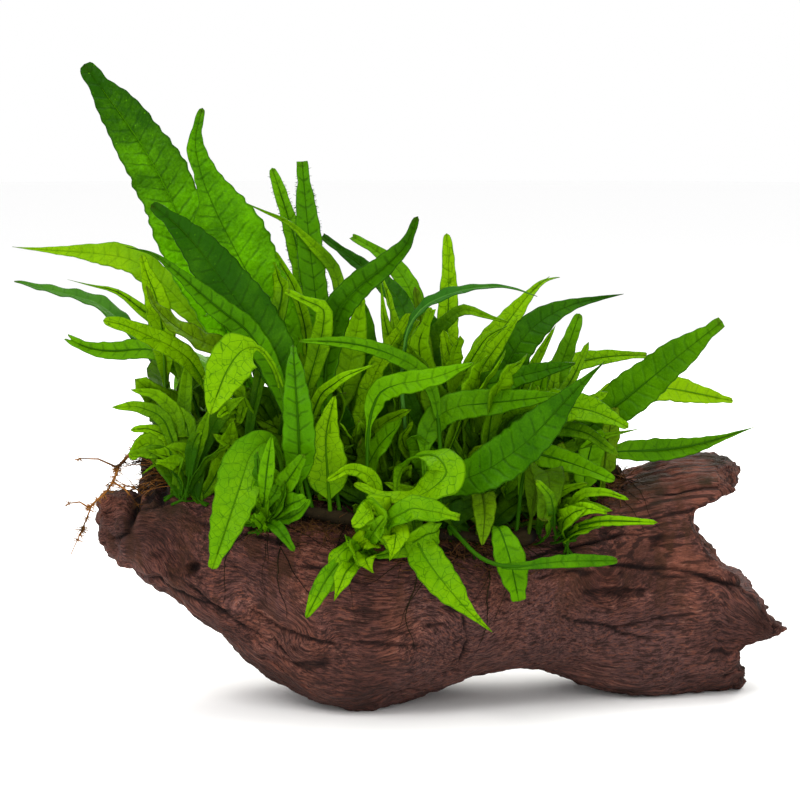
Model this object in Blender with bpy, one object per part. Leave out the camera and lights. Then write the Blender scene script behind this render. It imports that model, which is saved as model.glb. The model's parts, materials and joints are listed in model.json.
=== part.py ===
"""Java fern on driftwood: a chunk of old wood with rhizomes, fronds, plantlets and a hanging root.

Points are given in millimetres. +X runs along the wood, +Y towards the back, +Z up, and the wood
stands on z = 0 with its belly and its right foot.
"""

import math

import bmesh
import bpy
from mathutils import Matrix, Vector, noise
from mathutils.bvhtree import BVHTree

MM = 0.001

# driving dimensions, in millimetres
GAP = 0.3                 # left between pieces that touch
LEAF_GAP = 0.5            # kept clear on each side of a blade
WOOD_SIDES = 24
WOOD_STEP = 8.5           # between two rings along the wood
GNARL = 3.0               # height of the bumps on the wood
SQUARENESS = 2.5          # 2 is an ellipse, more is boxier
RHIZOME_RADIUS = 2.4
STALK_WIDTH = 1.7
BLADE_THICKNESS = 1.0
FROND_STATIONS = 10
LEAFLET_STATIONS = 5
KNOB_RADIUS = 2.4

# A blade leans or gives way only along lines from this point, far out in front of the clump, so
# that the clump keeps its outline from there.
FRONT_POINT = Vector((1.5, -1092.0, 248.0))
TO_FRONT = Vector((0.0, -1.0, 0.45))
TO_TOP = Vector((0.0, -0.3, 1.0))
TO_BACK = Vector((0.0, 0.8, 0.8))
TO_TOP_LEFT = Vector((-0.8, -0.5, 0.8))

# x, underside, top, middle of the underside in y, middle of the top in y, half depth
WOOD_STATIONS = (
    (-109, 62, 77, 0, 1, 11),
    (-103, 54, 79, 0, 3, 20),
    (-94, 47, 81, 2, 7, 26),
    (-83, 41, 86, 4, 12, 32),
    (-71, 31, 87, 6, 13, 37),
    (-59, 19, 85, 7, 11, 40),
    (-47, 10, 82, 8, 9, 43),
    (-32, 1, 80, 9, 6, 45),
    (-15, -4, 77, 9, 4, 46),
    (2, -1, 74, 9, 4, 45),
    (15, 3, 72, 11, 6, 43),
    (30, 7, 70, 14, 9, 41),
    (46, 10, 68, 17, 15, 38),
    (60, 8, 70, 20, 21, 37),
    (72, 3, 76, 23, 26, 36),
    (85, -2, 81, 25, 30, 35),
    (98, -3, 84, 25, 33, 34),
    (112, -3, 87, 25, 34, 32),
    (126, -1, 88, 26, 34, 29),
    (150, 3, 84, 27, 32, 22),
)

# outlines in x and z of what has broken away at the right end
BITE_ABOVE = ((170, 120), (133, 120), (129, 92), (132, 84), (131, 77), (123, 74), (115, 71), (112, 65),
              (117, 58), (122, 52), (128, 46), (132, 41), (136, 37), (140, 32), (144, 27), (170, 24))
BITE_BELOW = ((170, 30), (144, 26), (138, 20), (132, 18), (130, 14), (134, 9), (135, 3), (136, -12),
              (170, -12))
BITE_FROM, BITE_TO = -35, 95
BITE_RECESS = 9           # how far the break runs in, here and there, across the depth

# the second hump behind the left end: middle and radii
HUMP = ((-77, 36, 70), (24, 20, 29))

# the rhizomes' routes in x and y; they lie on top of the wood
RHIZOMES = {
    "left": ((-96, 24), (-84, 22), (-72, 18), (-58, 12), (-47, 6)),
    "front": ((-48, -20), (-30, -25), (-8, -27), (14, -24), (34, -19), (52, -10)),
    "middle": ((-40, 8), (-20, 4), (0, 6), (20, 9), (38, 12)),
    "right": ((44, 22), (56, 24), (70, 24), (86, 28)),
}

COLOURS = {
    "wood": ((0.105, 0.050, 0.042), 0.85),
    "rhizome": ((0.060, 0.065, 0.018), 0.80),
    "root": ((0.160, 0.070, 0.020), 0.85),
    "dark": ((0.030, 0.130, 0.006), 0.45),
    "mid": ((0.055, 0.220, 0.008), 0.45),
    "bright": ((0.150, 0.380, 0.010), 0.45),
    "pale": ((0.200, 0.430, 0.020), 0.50),
    "olive": ((0.110, 0.200, 0.020), 0.50),
    "blue": ((0.040, 0.150, 0.035), 0.45),
}

placed = []               # the search trees of the solids that are already in place
rhizome_lines = {}


def clear_scene():
    for obj in list(bpy.data.objects):
        bpy.data.objects.remove(obj, do_unlink=True)


def make_material(name):
    colour, roughness = COLOURS[name]
    material = bpy.data.materials.new(name)
    material.use_nodes = True
    shader = material.node_tree.nodes["Principled BSDF"]
    shader.inputs["Base Color"].default_value = (*colour, 1.0)
    shader.inputs["Roughness"].default_value = roughness
    shader.inputs["Metallic"].default_value = 0.0
    return material


def add_object(name, bm, material, smooth=True):
    """Turn a bmesh in millimetres into a named object in metres."""
    bmesh.ops.recalc_face_normals(bm, faces=bm.faces)
    bmesh.ops.scale(bm, vec=(MM, MM, MM), verts=bm.verts)
    mesh = bpy.data.meshes.new(name)
    bm.to_mesh(mesh)
    bm.free()
    mesh.materials.append(material)
    if smooth:
        mesh.shade_smooth()
    obj = bpy.data.objects.new(name, mesh)
    bpy.context.scene.collection.objects.link(obj)
    return obj


def tree_in_mm(obj):
    """A search tree of an object's evaluated mesh, in millimetres."""
    depsgraph = bpy.context.evaluated_depsgraph_get()
    mesh = obj.evaluated_get(depsgraph).to_mesh()
    points = [v.co / MM for v in mesh.vertices]
    return BVHTree.FromPolygons(points, [tuple(p.vertices) for p in mesh.polygons])


def smooth_line(points, count):
    """Points spread evenly along a smooth curve through the given points."""
    knots = [Vector(p) for p in points]
    ends = [knots[0] * 2 - knots[1]] + knots + [knots[-1] * 2 - knots[-2]]
    fine = []
    for a, b, c, d in zip(ends, ends[1:], ends[2:], ends[3:]):
        for step in range(12):
            t = step / 12
            fine.append(0.5 * (2 * b + (c - a) * t + (2 * a - 5 * b + 4 * c - d) * t ** 2
                               + (3 * b - a - 3 * c + d) * t ** 3))
    fine.append(knots[-1])
    walked = [0.0]
    for a, b in zip(fine, fine[1:]):
        walked.append(walked[-1] + (b - a).length)
    line = []
    at = 0
    for index in range(count):
        goal = walked[-1] * index / (count - 1)
        while at < len(fine) - 2 and walked[at + 1] < goal:
            at += 1
        span = max(walked[at + 1] - walked[at], 1e-6)
        line.append(fine[at].lerp(fine[at + 1], min(1.0, (goal - walked[at]) / span)))
    return line


def loft(rings, tip=None):
    """Extrude a capped ring through the given rings of points, to a tip if there is one."""
    bm = bmesh.new()
    bmesh.ops.create_circle(bm, segments=len(rings[0]), radius=1.0, cap_ends=True)
    bm.verts.ensure_lookup_table()
    ring = list(bm.verts)
    for vert, place in zip(ring, rings[0]):
        vert.co = place
    face = bm.faces[:][0]
    for places in rings[1:] + ([[tip] * len(ring)] if tip is not None else []):
        base = face
        result = bmesh.ops.extrude_face_region(bm, geom=[base])["geom"]
        face = next(g for g in result if isinstance(g, bmesh.types.BMFace))
        if base.is_valid and places is not rings[1]:
            bmesh.ops.delete(bm, geom=[base], context="FACES_ONLY")
        fresh = set(face.verts)
        ring = [next(e.other_vert(v) for e in v.link_edges if e.other_vert(v) in fresh) for v in ring]
        for vert, place in zip(ring, places):
            vert.co = place
    if tip is not None:
        bmesh.ops.pointmerge(bm, verts=ring, merge_co=tip)
    bmesh.ops.triangulate(bm, faces=bm.faces)
    return bm


def keep_largest_shell(mesh):
    """Delete every shell but the largest: crumbs, and pockets closed in between two leaves."""
    bm = bmesh.new()
    bm.from_mesh(mesh)
    shells = []
    left = set(bm.verts)
    while left:
        shell = set()
        edge = [left.pop()]
        while edge:
            vert = edge.pop()
            shell.add(vert)
            near = [e.other_vert(vert) for e in vert.link_edges]
            edge += [v for v in near if v in left]
            left.difference_update(near)
        shells.append(shell)
    shells.sort(key=len)
    bmesh.ops.delete(bm, geom=[v for shell in shells[:-1] for v in shell], context="VERTS")
    bm.to_mesh(mesh)
    bm.free()


def boolean(obj, cutter, operation):
    """Apply an exact Boolean and drop the cutter."""
    cutter.hide_render = True
    cutter.display_type = "WIRE"
    modifier = obj.modifiers.new(operation.lower(), "BOOLEAN")
    modifier.object = cutter
    modifier.operation = operation
    modifier.solver = "EXACT"
    depsgraph = bpy.context.evaluated_depsgraph_get()
    mesh = bpy.data.meshes.new_from_object(obj.evaluated_get(depsgraph))
    keep_largest_shell(mesh)
    obj.modifiers.clear()
    obj.data = mesh
    bpy.data.objects.remove(cutter, do_unlink=True)


def wood_size_at(x):
    """Underside, top, the two middles and the half depth of the wood at x."""
    stations = WOOD_STATIONS
    for before, after in zip(stations, stations[1:]):
        if x <= after[0]:
            break
    t = (x - before[0]) / (after[0] - before[0])
    t = t * t * (3 - 2 * t) * 0.5 + t * 0.5
    return [a + (b - a) * t for a, b in zip(before[1:], after[1:])]


def gnarl(point, size, height):
    """A bump that is longer along the grain than across it."""
    return height * noise.noise(Vector((point.x / (size * 2.4), point.y / size, point.z / size)))


def wood_ring(x):
    under, top, under_y, top_y, depth = wood_size_at(x)
    middle = Vector((x, (under_y + top_y) / 2, (under + top) / 2))
    ring = []
    for side in range(WOOD_SIDES):
        angle = 2 * math.pi * side / WOOD_SIDES
        across = math.copysign(abs(math.cos(angle)) ** (2 / SQUARENESS), math.cos(angle))
        upward = math.copysign(abs(math.sin(angle)) ** (2 / SQUARENESS), math.sin(angle))
        rise = 0.5 + upward / 2
        point = Vector((x, under_y + (top_y - under_y) * rise + depth * across, under + (top - under) * rise))
        outward = (point - middle).normalized()
        point += outward * (gnarl(point, 17, GNARL) + gnarl(point, 7, GNARL * 0.45))
        ring.append(point)
    return ring


def bite(name, outline):
    """A ragged prism through the whole depth of the wood."""
    slices = 10
    rings = []
    for index in range(slices):
        y = BITE_FROM + (BITE_TO - BITE_FROM) * index / (slices - 1)
        ring = []
        for x, z in outline:
            point = Vector((x, y, z))
            if x < 165:
                point.z += 3.0 * noise.noise(Vector((x, y, z + 40)) / 9)
                point.x -= BITE_RECESS * abs(noise.noise(Vector((3, y / 15, z / 22))))
            ring.append(point)
        rings.append(ring)
    return add_object(name, loft(rings), materials["wood"], smooth=False)


def make_driftwood():
    start, end = WOOD_STATIONS[0][0], WOOD_STATIONS[-1][0]
    count = round((end - start) / WOOD_STEP)
    rings = [wood_ring(start + (end - start) * index / count) for index in range(count + 1)]
    wood = add_object("driftwood", loft(rings), materials["wood"], smooth=False)

    middle, radii = HUMP
    bm = bmesh.new()
    bmesh.ops.create_icosphere(bm, subdivisions=2, radius=1.0)
    for vert in bm.verts:
        bump = 1 + 0.22 * noise.noise(vert.co * 1.6)
        vert.co = Vector([m + r * c * bump for m, r, c in zip(middle, radii, vert.co)])
    boolean(wood, add_object("hump", bm, materials["wood"]), "UNION")
    boolean(wood, bite("bite_above", BITE_ABOVE), "DIFFERENCE")
    boolean(wood, bite("bite_below", BITE_BELOW), "DIFFERENCE")

    bm = bmesh.new()
    bm.from_mesh(wood.data)
    bmesh.ops.bisect_plane(bm, geom=bm.verts[:] + bm.edges[:] + bm.faces[:], plane_co=(0, 0, 0),
                           plane_no=(0, 0, 1), clear_inner=True)
    bmesh.ops.holes_fill(bm, edges=[e for e in bm.edges if e.is_boundary], sides=0)
    bmesh.ops.recalc_face_normals(bm, faces=bm.faces)
    bm.to_mesh(wood.data)
    bm.free()
    wood.data.shade_smooth()
    wood.data.set_sharp_from_angle(angle=math.radians(50))
    return wood


def wood_height(x, y):
    hit = placed[0].ray_cast(Vector((x, y, 200)), Vector((0, 0, -1)))[0]
    return hit.z


def is_clear(rings, tip, against):
    """Whether a lofted shape crosses none of the given search trees."""
    points = [p for ring in rings for p in ring] + [tip]
    sides = len(rings[0])
    faces = [tuple(range(sides))]
    for start in range(0, len(points) - 1 - sides, sides):
        for k in range(sides):
            after = (k + 1) % sides
            faces.append((start + k, start + after, start + sides + after, start + sides + k))
    start = len(points) - 1 - sides
    faces += [(start + k, start + (k + 1) % sides, len(points) - 1) for k in range(sides)]
    tree = BVHTree.FromPolygons(points, faces)
    return not any(tree.overlap(other) for other in against)


def tube_rings(line, radii, sides=6):
    rings = []
    for index, (point, radius) in enumerate(zip(line, radii)):
        along = (line[min(index + 1, len(line) - 1)] - line[max(index - 1, 0)]).normalized()
        side = along.cross(Vector((0, 0, 1))).normalized()
        up = side.cross(along)
        ring = []
        for k in range(sides):
            angle = 2 * math.pi * k / sides
            ring.append(point + (side * math.cos(angle) + up * math.sin(angle)) * radius)
        rings.append(ring)
    return rings


def make_rhizome(name, route):
    count = 12
    flat = smooth_line([(x, y, 0) for x, y in route], count)
    heights = [wood_height(p.x, p.y) for p in flat]
    line = []
    for index, point in enumerate(flat):
        near = heights[max(index - 1, 0):index + 2]
        line.append(Vector((point.x, point.y, max(near) + RHIZOME_RADIUS + GAP)))
    radii = [RHIZOME_RADIUS * (0.88 + 0.12 * math.cos(index * 2.1)) for index in range(count)]
    radii[0] *= 0.6
    while not is_clear(tube_rings(line[:-1], radii), line[-1], placed):
        line = [p + Vector((0, 0, 0.2)) for p in line]
    line = [p + Vector((0, 0, GAP)) for p in line]
    rhizome_lines[name] = line
    rhizome = add_object("rhizome_" + name, loft(tube_rings(line[:-1], radii), line[-1]), materials["rhizome"])
    placed.append(tree_in_mm(rhizome))


def blade_width(t, width, stalk, peak, taper):
    """Width of a frond at t, from 0 at its foot to 1 at its tip."""
    if t <= stalk:
        return STALK_WIDTH
    u = (t - stalk) / (1 - stalk)
    if u < peak:
        swell = math.sin(math.pi / 2 * u / peak) ** 0.8
    else:
        swell = math.cos(math.pi / 2 * (u - peak) / (1 - peak)) ** taper
    return max(STALK_WIDTH, width * swell)


def blade_rings(line, shape, margin=0.0):
    """Four-sided sections of a blade: left edge, underside, right edge, upper side."""
    rings = []
    last = len(line) - 1
    side = None
    for index in range(last):
        t = index / last
        along = (line[index + 1] - line[max(index - 1, 0)]).normalized()
        fresh = along.cross(shape["facing"])
        if side is not None:
            fresh += side * (0.35 if fresh.dot(side) > 0 else -0.35)
        fresh -= along * fresh.dot(along)
        side = fresh.normalized()
        turned = side.copy()
        turned.rotate(Matrix.Rotation(math.radians(shape["turn"] * t), 3, along))
        up = turned.cross(along)
        half = blade_width(t, shape["width"], shape["stalk"], shape["peak"], shape["taper"]) / 2 + margin
        thick = BLADE_THICKNESS * (0.6 - 0.25 * t) + margin
        point = line[index]
        rings.append([point - turned * half, point - up * thick, point + turned * half, point + up * thick])
    return rings


def leans(step, most):
    """Amounts to lean a blade by, the smallest first."""
    amounts = [0.0]
    for k in range(1, round(most / step) + 1):
        amounts += [step * k, -step * k]
    return amounts


def leaned(line, middle, end):
    """A line pushed back by one amount at its middle and another at its end."""
    last = len(line) - 1
    moved = []
    for index, point in enumerate(line):
        t = index / last
        push = 4 * t * (1 - t) * middle + t * t * end
        away = point - FRONT_POINT
        moved.append(point + away / away.y * push)
    return moved


def find_room(line, shape, own=()):
    """Lean a blade until it is clear of all that is in place; None if there is no room."""
    others = [tree for tree in placed if tree not in own]
    solid, leaves = others[:len(rhizome_lines) + 1], others[len(rhizome_lines) + 1:]
    for most in (9, 27):
        for end in leans(3, most):
            for middle in leans(3, most):
                tried = leaned(line, middle, end)
                if not is_clear(blade_rings(tried, shape, LEAF_GAP), tried[-1], leaves):
                    continue
                if is_clear(blade_rings(tried, shape, GAP), tried[-1], solid):
                    return tried
    return None


def grow_frond(name, rhizome, foot_x, shade, width, points, stalk=0.2, peak=0.45, taper=0.7,
               facing=TO_FRONT, turn=0.0, lean=0.0):
    """Grow one frond from the spot on a rhizome nearest to foot_x."""
    shape = {"width": width, "stalk": stalk, "peak": peak, "taper": taper, "facing": facing, "turn": turn}
    for shift in leans(1.5, 15):
        foot = min(rhizome_lines[rhizome][1:-1], key=lambda p: abs(p.x - foot_x - shift))
        foot = foot + Vector((foot_x + shift - foot.x, 0, 0)) * 0.9
        out = (Vector(points[0]) - foot).normalized()
        foot = foot + out * (RHIZOME_RADIUS + GAP + 0.4)
        line = leaned(smooth_line([foot] + points, FROND_STATIONS), 0.0, lean)
        line = find_room(line, shape)
        if line is not None:
            break
    else:
        print("no room for", name)
        return
    rings = blade_rings(line, shape)
    frond = add_object("frond_" + name, loft(rings, line[-1]), materials[shade])
    placed.append(tree_in_mm(frond))


def grow_fronds():
    # the tall ones at the left
    grow_frond("left_tallest", "middle", -37, "mid", 22,
               [(-44, 8, 98), (-57, 8, 124), (-75, 14, 164), (-89, 20, 198), (-117, 30, 237)],
               peak=0.55, taper=0.55)
    grow_frond("left_tall_twisted", "middle", -29, "mid", 21,
               [(-35, 5, 108), (-41, 6, 134), (-55, 8, 160), (-68, 12, 185), (-75, 15, 204), (-72, 18, 222)],
               peak=0.4, taper=1.1, turn=35, lean=-26)
    grow_frond("left_broad_dark", "front", -38, "dark", 19,
               [(-38, -20, 108), (-45, -12, 133), (-61, -9, 155), (-75, -4, 174), (-90, 2, 186)], taper=0.8,
               lean=-24)
    grow_frond("left_narrow_dark", "front", -30, "dark", 9,
               [(-40, -22, 114), (-51, -18, 138), (-69, -24, 154), (-85, -26, 169), (-98, -28, 172)],
               lean=-14)
    grow_frond("left_yellow_hanging", "front", -33, "bright", 18,
               [(-38, -26, 106), (-44, -30, 130), (-53, -34, 139), (-60, -39, 130), (-66, -44, 114)],
               stalk=0.45, peak=0.55, taper=0.6)
    # the left side
    grow_frond("left_pale_level", "left", -56, "pale", 11,
               [(-62, 22, 118), (-72, 26, 137), (-99, 30, 163), (-124, 34, 166), (-146, 36, 168)], stalk=0.3,
               lean=22)
    grow_frond("left_pale_upright", "left", -84, "bright", 10,
               [(-86, 12, 116), (-86, 2, 134), (-88, 1, 151), (-92, 3, 160), (-94, 5, 167)],
               stalk=0.35, taper=0.7, lean=-8)
    grow_frond("left_olive_twisted", "left", -58, "olive", 10,
               [(-58, 4, 118), (-62, -4, 131), (-74, -10, 138), (-86, -12, 147), (-91, -10, 157)],
               stalk=0.35, turn=50, lean=-10)
    grow_frond("left_blue_low", "left", -80, "blue", 9,
               [(-86, 18, 116), (-97, 16, 135), (-112, 18, 148), (-127, 22, 152), (-144, 26, 156)],
               stalk=0.35, facing=TO_TOP, lean=14)
    grow_frond("left_pale_blunt", "left", -66, "bright", 8,
               [(-68, 4, 112), (-77, -8, 131), (-89, -12, 138), (-98, -16, 143), (-106, -18, 145)],
               stalk=0.35, taper=0.6, lean=-12)
    grow_frond("left_fork_tipped", "left", -72, "mid", 8,
               [(-75, 10, 112), (-88, 6, 131), (-104, 8, 131), (-115, 10, 132), (-123, 12, 136)], stalk=0.35,
               lean=14)
    # upright ones behind
    grow_frond("back_hairy_narrow", "middle", -34, "mid", 8,
               [(-34, 20, 112), (-34, 28, 152), (-40, 32, 177), (-47, 36, 198)], stalk=0.3, taper=0.6,
               lean=16)
    grow_frond("back_hairy_square", "middle", -22, "mid", 10,
               [(-26, 16, 112), (-30, 20, 149), (-33, 20, 176), (-35, 20, 201)], stalk=0.3, taper=0.35,
               lean=12)
    grow_frond("back_dark_notched", "middle", 4, "dark", 8,
               [(8, 20, 112), (2, 30, 147), (-16, 34, 163), (-28, 36, 172)], stalk=0.3, lean=22)
    grow_frond("back_green_torn", "middle", 14, "mid", 9,
               [(16, 26, 110), (10, 38, 134), (2, 44, 158), (-17, 48, 171)], stalk=0.3, lean=20)
    grow_frond("middle_folded", "front", -20, "dark", 11,
               [(-26, -14, 112), (-24, -6, 139), (-16, -8, 156), (-2, -8, 164), (4, -6, 172), (8, -4, 182)],
               stalk=0.25, lean=-16)
    grow_frond("middle_upright", "middle", 18, "bright", 9,
               [(19, 20, 104), (19, 24, 130), (20, 24, 155), (19, 22, 174)], stalk=0.2, taper=0.8,
               lean=14)
    grow_frond("middle_grey_level", "middle", 6, "blue", 7,
               [(2, 12, 122), (6, 8, 145), (20, 4, 153), (38, 0, 156), (52, -6, 153)],
               stalk=0.35, facing=TO_TOP_LEFT, lean=-14)
    # the right side
    grow_frond("right_curled_tip", "middle", 30, "bright", 11,
               [(30, 24, 104), (31, 28, 124), (38, 30, 134), (49, 34, 148), (57, 36, 157), (64, 38, 159)],
               peak=0.4, taper=1.4, lean=18)
    grow_frond("right_long_tipped", "right", 46, "dark", 14,
               [(40, 16, 106), (41, 16, 123), (48, 17, 136), (62, 20, 146), (86, 26, 151)],
               peak=0.35, taper=1.5, lean=-12)
    grow_frond("right_oval_upright", "right", 56, "mid", 8,
               [(58, 20, 104), (60, 20, 118), (64, 20, 130), (69, 20, 144)], stalk=0.3, taper=0.6,
               lean=8)
    grow_frond("right_brown_tipped", "right", 52, "bright", 8,
               [(52, 36, 106), (58, 40, 119), (78, 44, 125), (97, 50, 125)], stalk=0.25, lean=16)
    grow_frond("right_largest", "right", 60, "mid", 16,
               [(64, 18, 93), (73, 14, 103), (86, 12, 113), (104, 10, 128), (121, 8, 142)],
               stalk=0.15, taper=0.7, lean=-18)
    grow_frond("right_pale_far", "right", 66, "pale", 12,
               [(70, 32, 99), (82, 32, 111), (102, 36, 114), (130, 44, 108)], stalk=0.2, lean=20)
    grow_frond("right_long_tailed", "right", 64, "mid", 9,
               [(77, 19, 91), (96, 20, 92), (115, 24, 94), (137, 30, 100)], stalk=0.12, peak=0.35, taper=1.6,
               lean=8)
    grow_frond("right_small_level", "front", 44, "mid", 9,
               [(48, -8, 92), (56, -10, 94), (66, -18, 92), (79, -28, 88)], stalk=0.2)
    # the middle, in front
    grow_frond("front_long_diagonal", "front", 8, "mid", 17,
               [(14, -20, 83), (31, -26, 90), (48, -30, 103), (63, -32, 120), (75, -34, 132)],
               stalk=0.1, peak=0.4, taper=1.1, lean=-14)
    grow_frond("middle_net_veined", "middle", 34, "bright", 13,
               [(42, 2, 105), (54, -10, 112), (69, -18, 113), (84, -26, 107)], stalk=0.25, taper=0.7,
               lean=-12)
    grow_frond("middle_dark_level", "middle", 12, "dark", 9,
               [(16, 8, 100), (26, 4, 116), (44, 0, 122), (66, -6, 128)], stalk=0.25, lean=-12)
    grow_frond("middle_broad_level", "front", 10, "mid", 11,
               [(10, -16, 98), (17, -13, 111), (38, -16, 115), (60, -20, 118)], stalk=0.2, lean=-12)
    grow_frond("middle_long_left", "front", 16, "mid", 6,
               [(16, -14, 104), (11, -15, 124), (-4, -20, 134), (-18, -26, 138), (-35, -32, 139)], stalk=0.3)
    grow_frond("middle_bright_level", "front", -10, "bright", 9,
               [(-10, -20, 106), (-4, -21, 121), (11, -26, 124), (28, -32, 131)], stalk=0.3)
    grow_frond("front_upright_dark", "front", -36, "mid", 12,
               [(-35, -25, 98), (-36, -26, 118), (-37, -27, 137)], stalk=0.12, peak=0.2, taper=0.6)
    grow_frond("front_upright_pale", "front", -24, "bright", 15,
               [(-25, -30, 96), (-25, -31, 106), (-22, -31, 119)], stalk=0.12, peak=0.15, taper=1.0)
    grow_frond("front_left_hanging", "front", -42, "bright", 15,
               [(-42, -28, 100), (-50, -35, 102), (-57, -44, 84), (-65, -54, 60)],
               stalk=0.25, peak=0.5, taper=0.7)
    grow_frond("front_curled_loop", "front", 2, "bright", 10,
               [(0, -27, 92), (10, -36, 99), (19, -42, 96), (13, -44, 87), (0, -40, 82), (-15, -35, 88)],
               stalk=0.12, facing=TO_TOP)
    grow_frond("front_pointed_hanging", "front", 6, "bright", 13,
               [(6, -36, 77), (8, -44, 67), (15, -50, 57), (25, -56, 46), (34, -60, 38)],
               stalk=0.15, peak=0.4, taper=1.2)
    grow_frond("front_olive_hanging", "front", 30, "olive", 9,
               [(31, -28, 84), (32, -36, 78), (31, -43, 67)], stalk=0.15, taper=0.8)
    grow_frond("front_dark_tipped", "front", 36, "mid", 11,
               [(37, -34, 72), (41, -41, 61), (44, -46, 47)], stalk=0.2, peak=0.6, taper=0.6)
    grow_frond("front_spatula", "front", 20, "mid", 5,
               [(20, -36, 72), (30, -44, 62), (42, -49, 60), (58, -50, 62), (79, -48, 62)],
               stalk=0.45, peak=0.7, taper=0.6)
    grow_frond("front_broad_hanging", "front", 49, "olive", 12,
               [(53, -16, 90), (56, -25, 86), (53, -34, 74)], stalk=0.1, taper=0.6)
    # behind, where the clump closes over the wood
    grow_frond("rear_left", "left", -68, "mid", 13,
               [(-70, 36, 118), (-76, 58, 124), (-88, 82, 108)], facing=TO_BACK)
    grow_frond("rear_middle_left", "middle", -22, "dark", 14,
               [(-24, 34, 116), (-32, 58, 128), (-42, 86, 120)], facing=TO_BACK)
    grow_frond("rear_middle", "middle", 4, "mid", 13,
               [(4, 36, 108), (6, 60, 112), (6, 84, 90)], facing=TO_BACK)
    grow_frond("rear_right", "right", 58, "mid", 12,
               [(58, 44, 104), (62, 64, 106), (74, 86, 88)], facing=TO_BACK)


def grow_plantlet(name, seat, aim, shade, leaves):
    """Grow a tuft of small leaves from a knob on the wood; a leaf is its width and its points."""
    hit, normal = placed[0].ray_cast(Vector(seat), Vector(aim))[:2]
    knob_at = hit + normal * (KNOB_RADIUS + GAP * 2)
    bm = bmesh.new()
    bmesh.ops.create_icosphere(bm, subdivisions=1, radius=KNOB_RADIUS, matrix=Matrix.Translation(knob_at))
    knob = add_object("plantlet_" + name, bm, materials[shade])
    tree = tree_in_mm(knob)
    while any(tree.overlap(other) for other in placed):
        knob_at += normal * GAP
        knob.data.transform(Matrix.Translation(normal * GAP * MM))
        tree = tree_in_mm(knob)
    for width, points in leaves:
        shape = {"width": width, "stalk": 0.25, "peak": 0.5, "taper": 0.8, "facing": TO_FRONT, "turn": 0.0}
        out = (Vector(points[0]) - knob_at).normalized()
        line = find_room(smooth_line([knob_at + out * KNOB_RADIUS * 0.4] + points, LEAFLET_STATIONS + 1), shape)
        if line is None:
            print("no room for a leaf of", name, points[-1])
            continue
        rings = blade_rings(line, shape)
        leaf = add_object("leaf", loft(rings, line[-1]), materials[shade])
        boolean(knob, leaf, "UNION")
    placed.append(tree_in_mm(knob))


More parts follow.
